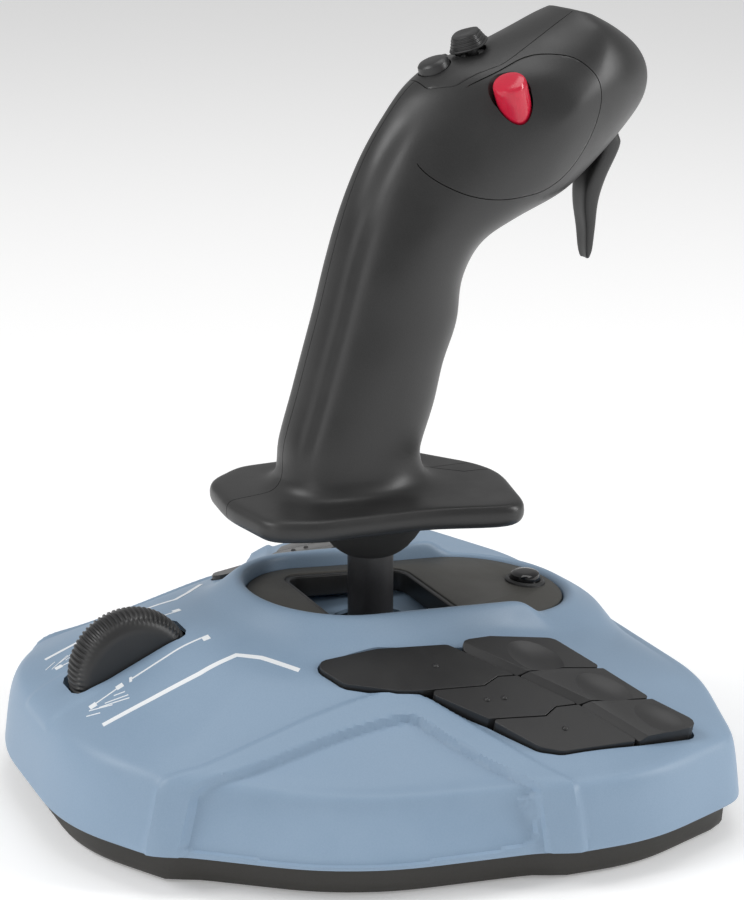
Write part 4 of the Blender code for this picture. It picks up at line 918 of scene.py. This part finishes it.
def build_grip():
    whole = loft(grip_rings())
    mesh = bpy.data.meshes.new("grip_skin")
    whole.to_mesh(mesh)
    whole.free()
    holder = put("grip_skin", mesh)
    subdivide(holder, 1)
    skin = holder.data

    module_line = anticlockwise(smooth_outline(MODULE))
    hat_frame = frame_of(HAT_FOOT, TOP_NORMAL)

    def button_frame(side):
        return frame_of((side * BUTTON_FOOT.x, BUTTON_FOOT.y, BUTTON_FOOT.z),
                        (side * BUTTON_NORMAL.x, BUTTON_NORMAL.y, BUTTON_NORMAL.z))

    def button_room(side):
        room = [(BUTTON_ROOM, -9.0), (BUTTON_ROOM, -0.4), (BUTTON_ROOM + 0.3, 0.4), (BUTTON_SEAT, 7.0),
                (BUTTON_SEAT, 14.0)]
        return turned(room, 64, button_frame(side))

    def panel_room():
        return prism(grow(TOP_PANEL, SEAM), PANEL_BED, 30.0, hat_frame)

    for side in (1, -1):
        hand = "right" if side > 0 else "left"
        half = to_object("grip_half_" + hand, half_of(opened(skin), side, SEAM), "grip_abs")
        cutters = [side_prism(grow(module_line, SEAM), side), panel_room(), button_room(side),
                   prism(TRIGGER_SLOT, 140.0, 192.0)]
        if side > 0:
            cutters.append(ribbon_cutter(LATCH_LINE, LINE_WIDTH, REST_TOP_Z - 1.0, REST_TOP_Z + 0.25))
        cut(half, cutters)
        fit(half, "grip", "grip_shell_" + hand)
        module = to_object("side_module_cover_" + hand, half_of(opened(skin), side, SEAM), "grip_abs")
        cut(module, [side_prism(grow(module_line, -SEAM), side)], "INTERSECT")
        cut(module, [button_room(side), panel_room()])
        bevel_sharp(module, 0.12, 1, 50.0)
        fit(module, "grip", "side_module_" + hand)
        profile = [(4.6, -7.0), (4.7, 0.0), (4.75, 3.9), (4.6, 4.8), (4.2, 5.35), (3.4, 5.6), (1.6, 5.7)]
        name, finish, node = (("red_thumb_button", "red_pc", "red_button") if side > 0
                              else ("left_thumb_button", "key_abs", "left_button"))
        button = to_object(name, turned(profile, 64, button_frame(side)), finish)
        fit(button, node, node)
    cover = to_object("top_panel_cover", opened(skin), "grip_abs")
    cut(cover, [prism(grow(TOP_PANEL, -SEAM), PANEL_BED + 0.2, 30.0, hat_frame)], "INTERSECT")
    centre_frame = frame_of(CENTRE_FOOT, TOP_NORMAL)
    cut(cover, [bore(4.6, hat_frame, 48), bore(4.95, centre_frame, 48)])
    bevel_sharp(cover, 0.12, 1, 50.0)
    fit(cover, "grip", "top_panel")
    bpy.data.objects.remove(holder)
    return hat_frame, centre_frame


def ribbon_cutter(points, width, low, high):
    """A thin wall along a bent line, for a joint line cut into a surface."""
    line = [Vector(p) for p in points]
    left, right = [], []
    for i, point in enumerate(line):
        ahead = (line[min(i + 1, len(line) - 1)] - line[max(i - 1, 0)]).normalized()
        normal = Vector((-ahead.y, ahead.x)) * width / 2
        left.append(point + normal)
        right.append(point - normal)
    return prism(right + list(reversed(left)), low, high)


HAT_LOBES_ABOVE = 1.75
HAT_LOBE = 0.05         # how far the four lobes swell, as a share of the radius


def build_head_controls(hat_frame, centre_frame):
    steps = [(1.8, -4.2), (1.8, 1.7), (5.1, 1.7), (5.6, 1.85), (5.7, 2.15), (5.5, 2.45), (5.05, 2.55),
             (5.0, 2.8), (5.15, 2.95), (5.1, 3.25), (4.7, 3.35), (4.62, 3.65), (4.78, 3.8), (4.72, 4.1),
             (4.35, 4.2), (4.3, 4.5), (4.45, 4.65), (4.4, 4.95), (4.1, 5.05), (4.05, 5.3), (4.1, 5.45),
             (3.9, 5.8), (3.2, 6.0), (1.6, 5.75)]
    bm = turned(steps, 96)
    for vert in bm.verts:
        if vert.co.z > HAT_LOBES_ABOVE:
            turn = math.atan2(vert.co.y, vert.co.x)
            reach = 1 + HAT_LOBE * math.cos(4 * turn)
            vert.co.x *= reach
            vert.co.y *= reach
    bmesh.ops.transform(bm, matrix=hat_frame, verts=bm.verts)
    fit(to_object("ribbed_hat", bm, "key_abs"), "hat", "hat_cap")
    dome = [(4.5, -7.0), (4.6, 1.6), (4.45, 2.5), (3.9, 3.1), (2.8, 3.4), (1.2, 3.5)]
    fit(to_object("centre_thumb_button", turned(dome, 64, centre_frame), "key_abs"), "centre_button",
        "centre_button")


TRIGGER_LEVELS = [
    (143.8, 70.3, 71.5, 1.9), (144.6, 69.9, 71.9, 2.3), (147.0, 69.4, 72.4, 2.9), (153.0, 68.8, 72.8, 3.6),
    (161.0, 67.6, 73.4, 4.4), (168.0, 68.2, 75.4, 5.2), (177.0, 72.0, 79.6, 5.8), (181.0, 70.6, 79.0, 5.9),
    (190.0, 66.7, 75.3, 5.9),
]


def build_trigger():
    """Blade with a hollowed finger face: broad above, thin at the tip."""
    rings = []
    count = 40
    for z, rear, front, half in blend(TRIGGER_LEVELS, 6):
        middle = (rear + front) / 2
        depth = (front - rear) / 2
        ring = []
        for i in range(count):
            c, s = squared(2 * math.pi * i / count, 0.6)
            hollow = 0.5 * (1 - c * c) if s < 0 else 0.0
            ring.append(Vector((half * c, middle + depth * s + hollow, z)))
        rings.append(ring)
    blade = to_object("trigger_blade", loft(rings), "grip_abs")
    cut(blade, [bore(AXLE_BORE, across(TRIGGER_PIVOT))])
    bevel_sharp(blade, 0.2, 2, 45.0)
    fit(blade, "trigger", "trigger")


# ---- neck and shaft ----
def build_neck():
    top = REST_BOTTOM_Z - GAP
    boot = [(7.1, 63.0), (8.2, 63.0), (8.9, 63.3), (10.2, 64.2), (11.8, 65.6), (12.2, 66.2), (13.6, 67.8),
            (14.9, 69.8), (15.2, 70.4), (16.2, 72.2), (17.0, 74.2), (17.2, 74.8), (17.8, 76.4), (18.0, top),
            (9.6, top), (9.6, 71.2), (7.1, 71.2)]
    fit(to_object("neck_boot_cover", turned(boot, 96, ring=True), "rubber"), "grip", "neck_boot")
    low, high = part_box("shaft_tube")
    tube = [(5.0, low.z / MM), (6.6, low.z / MM), (6.8, low.z / MM + 0.3), (6.8, high.z / MM - 0.3),
            (6.5, high.z / MM), (5.0, high.z / MM)]
    fit(to_object("stick_shaft", turned(tube, 96, ring=True), "acetal"), "stick", "shaft_tube")


# ---- printed marks ----
MARKS = [
    ([(24.8, -93.2), (24.9, -79.4), (24.6, -64.7), (23.1, -52.9), (27.3, -47.2), (36.1, -39.6)], 1.5),
    ([(12.9, -80.5), (11.9, -69.0), (10.6, -58.4)], 0.6),
    ([(11.9, -80.2), (13.9, -80.9)], 0.8),
    ([(14.6, -92.6), (13.2, -83.6)], 0.5),
]
PRINT_ABOVE = 0.09      # the print's top over the shell, and how far it reaches below
PRINT_BELOW = 0.1
SPOTS = [(11.3, -57.2, 2.0), (14.7, -92.4, 1.8), (13.1, -83.9, 1.8)]
HATCH = [((15.6, -86.6), (16.5, -83.6)), ((16.6, -89.6), (18.6, -83.4)), ((17.0, -91.4), (20.0, -83.6)),
         ((15.9, -94.0), (19.0, -88.2)), ((17.6, -95.4), (19.4, -92.0))]


def build_marks(shell):
    tree = BVHTree.FromObject(shell, bpy.context.evaluated_depsgraph_get())

    def drape(bm):
        """Lay a flat mark on the shell, a hair above its skin."""
        for vert in bm.verts:
            start = Vector((vert.co.x, vert.co.y + STICK_Y, 90.0)) * MM
            spot = tree.ray_cast(start, Vector((0.0, 0.0, -1.0)))[0]
            if spot is None:
                continue
            vert.co.z = spot.z / MM + (PRINT_ABOVE if vert.co.z > 0.5 else -PRINT_BELOW)
    bm_all = bmesh.new()
    for side in (1, -1):
        pieces = []
        for points, width in MARKS:
            pieces.append(ribbon_cutter(points, width, 0.0, 1.0))
        for x, y, size in SPOTS:
            spot = [(x - size / 2, y - size * 0.55), (x + size * 0.6, y - size * 0.55),
                    (x + size / 2, y + size * 0.55), (x - size * 0.6, y + size * 0.55)]
            pieces.append(prism(spot, 0.0, 1.0))
        for stroke in HATCH:
            pieces.append(ribbon_cutter(stroke, LINE_WIDTH, 0.0, 1.0))
        for bm in pieces:
            long_edges = [e for e in bm.edges if e.calc_length() > 2.0]
            bmesh.ops.subdivide_edges(bm, edges=long_edges, cuts=24, use_grid_fill=True)
            bmesh.ops.triangulate(bm, faces=[f for f in bm.faces if len(f.verts) > 4])
            for vert in bm.verts:
                vert.co.x *= side
            if side < 0:
                bmesh.ops.reverse_faces(bm, faces=bm.faces)
            drape(bm)
            mesh = bpy.data.meshes.new("mark")
            bm.to_mesh(mesh)
            bm.free()
            bm_all.from_mesh(mesh)
            bpy.data.meshes.remove(mesh)
    place(bm_all)
    mesh = bpy.data.meshes.new("printed_marks")
    bm_all.to_mesh(mesh)
    bm_all.free()
    made = put("printed_marks", mesh)
    mesh.materials.append(FINISH["ink"])
    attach(made, "base")


def build_gland():
    matrix = frame_of((0.0, GLAND_FACE_Y, GLAND_Z), (0.0, 1.0, 0.0), (0.0, 0.0, 1.0))
    low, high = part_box("cable_gland")
    reach = high.y / MM - STICK_Y - GLAND_FACE_Y
    back = low.y / MM - STICK_Y - GLAND_FACE_Y
    profile = [(2.4, back), (5.0, back), (5.0, reach - 0.8), (4.7, reach - 0.2), (4.2, reach),
               (3.0, reach), (2.4, reach - 0.6)]
    fit(to_object("cord_gland", turned(profile, 48, matrix, ring=True), "rubber"), "base", "cable_gland")


# ---- finishes of the nodes that keep their CAD shape ----
NODE_FINISH = {
    "blue_abs": ["well_floor"], "iron": ["weight_plate"], "tray_abs": ["throttle_potentiometer"],
    "epoxy": ["main_board", "head_board", "button_board_left", "button_board_right"],
    "rubber": ["button_pad_left", "button_pad_right"],
    "acetal": ["gimbal_frame", "gimbal_yoke", "gimbal_block", "throttle_bracket", "spring_cup",
               "twist_ring", "hat_switch", "hat_rocker"],
    "zinc": ["throttle_axle", "centering_spring", "sensor_magnet", "trigger_pin", "trigger_spring"],
}
for finish_name, node_names in NODE_FINISH.items():
    for node_name in node_names:
        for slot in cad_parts[node_name].material_slots:
            slot.material = FINISH[finish_name]

# ---- build ----
shell = build_shell()
build_marks(shell)
build_tray()
build_plate()
for side in (1, -1):
    for key in KEYS:
        build_key(side, key)
build_throttle()
hat_frame, centre_frame = build_grip()
build_head_controls(hat_frame, centre_frame)
build_trigger()
build_neck()
build_gland()


# ---- floor, light and camera ----
def build_stage():
    bm = bmesh.new()
    bmesh.ops.create_grid(bm, x_segments=1, y_segments=1, size=3.0)
    mesh = bpy.data.meshes.new("floor")
    bm.to_mesh(mesh)
    bm.free()
    floor = put("floor", mesh)
    made = bpy.data.materials.new("matt_white_sweep")
    made.use_nodes = True
    shader = made.node_tree.nodes["Principled BSDF"]
    shader.inputs["Base Color"].default_value = linear("F8F8F8")
    shader.inputs["Roughness"].default_value = 0.9
    shader.inputs["Emission Color"].default_value = (1.0, 1.0, 1.0, 1.0)
    shader.inputs["Emission Strength"].default_value = 0.22
    mesh.materials.append(made)


def area_light(name, spot, target, size, power, size_y=None):
    data = bpy.data.lights.new(name, "AREA")
    data.shape = "RECTANGLE"
    data.size = size
    data.size_y = size_y or size
    data.energy = power
    lamp = put(name, data)
    lamp.location = spot
    lamp.rotation_euler = (Vector(target) - Vector(spot)).to_track_quat("-Z", "Y").to_euler()


def build_light():
    world = bpy.data.worlds.new("studio")
    bpy.context.scene.world = world
    world.use_nodes = True
    tree = world.node_tree
    seen = add(tree, "ShaderNodeLightPath").outputs["Is Camera Ray"]
    strength = add(tree, "ShaderNodeMapRange", {"To Min": 0.42, "To Max": 1.0}, {"Value": seen})
    tree.links.new(strength.outputs["Result"], tree.nodes["Background"].inputs["Strength"])
    tree.nodes["Background"].inputs["Color"].default_value = (1.0, 1.0, 1.0, 1.0)
    middle = (0.0, 0.0, 0.10)
    area_light("key_softbox", (-0.25, -1.05, 1.15), middle, 0.6, 7.5)
    area_light("left_strip", (0.42, -1.05, 0.42), (0.0, 0.02, 0.14), 0.45, 1.6, 0.8)
    area_light("right_strip", (0.55, 0.80, 0.50), (0.0, 0.03, 0.16), 0.16, 4.2, 0.7)
    area_light("top_softbox", (-0.2, 0.3, 1.5), middle, 0.8, 4.0)


def build_camera():
    data = bpy.data.cameras.new("camera")
    data.sensor_width = 36.0
    data.lens = 88.64
    camera = put("camera", data)
    heading, height = math.radians(63.8), math.radians(18.0)
    right = Vector((math.cos(heading), math.sin(heading), 0.0))
    back = Vector((math.sin(heading) * math.cos(height), -math.cos(heading) * math.cos(height),
                   math.sin(height)))
    up = back.cross(right)
    turn = Matrix((right, up, back)).transposed().to_4x4()
    spot = Vector((550.2, -270.2 + STICK_Y, 292.8)) * MM
    camera.matrix_world = Matrix.Translation(spot) @ turn
    bpy.context.scene.camera = camera


build_stage()
build_light()
build_camera()
bpy.context.scene.view_settings.view_transform = "Standard"
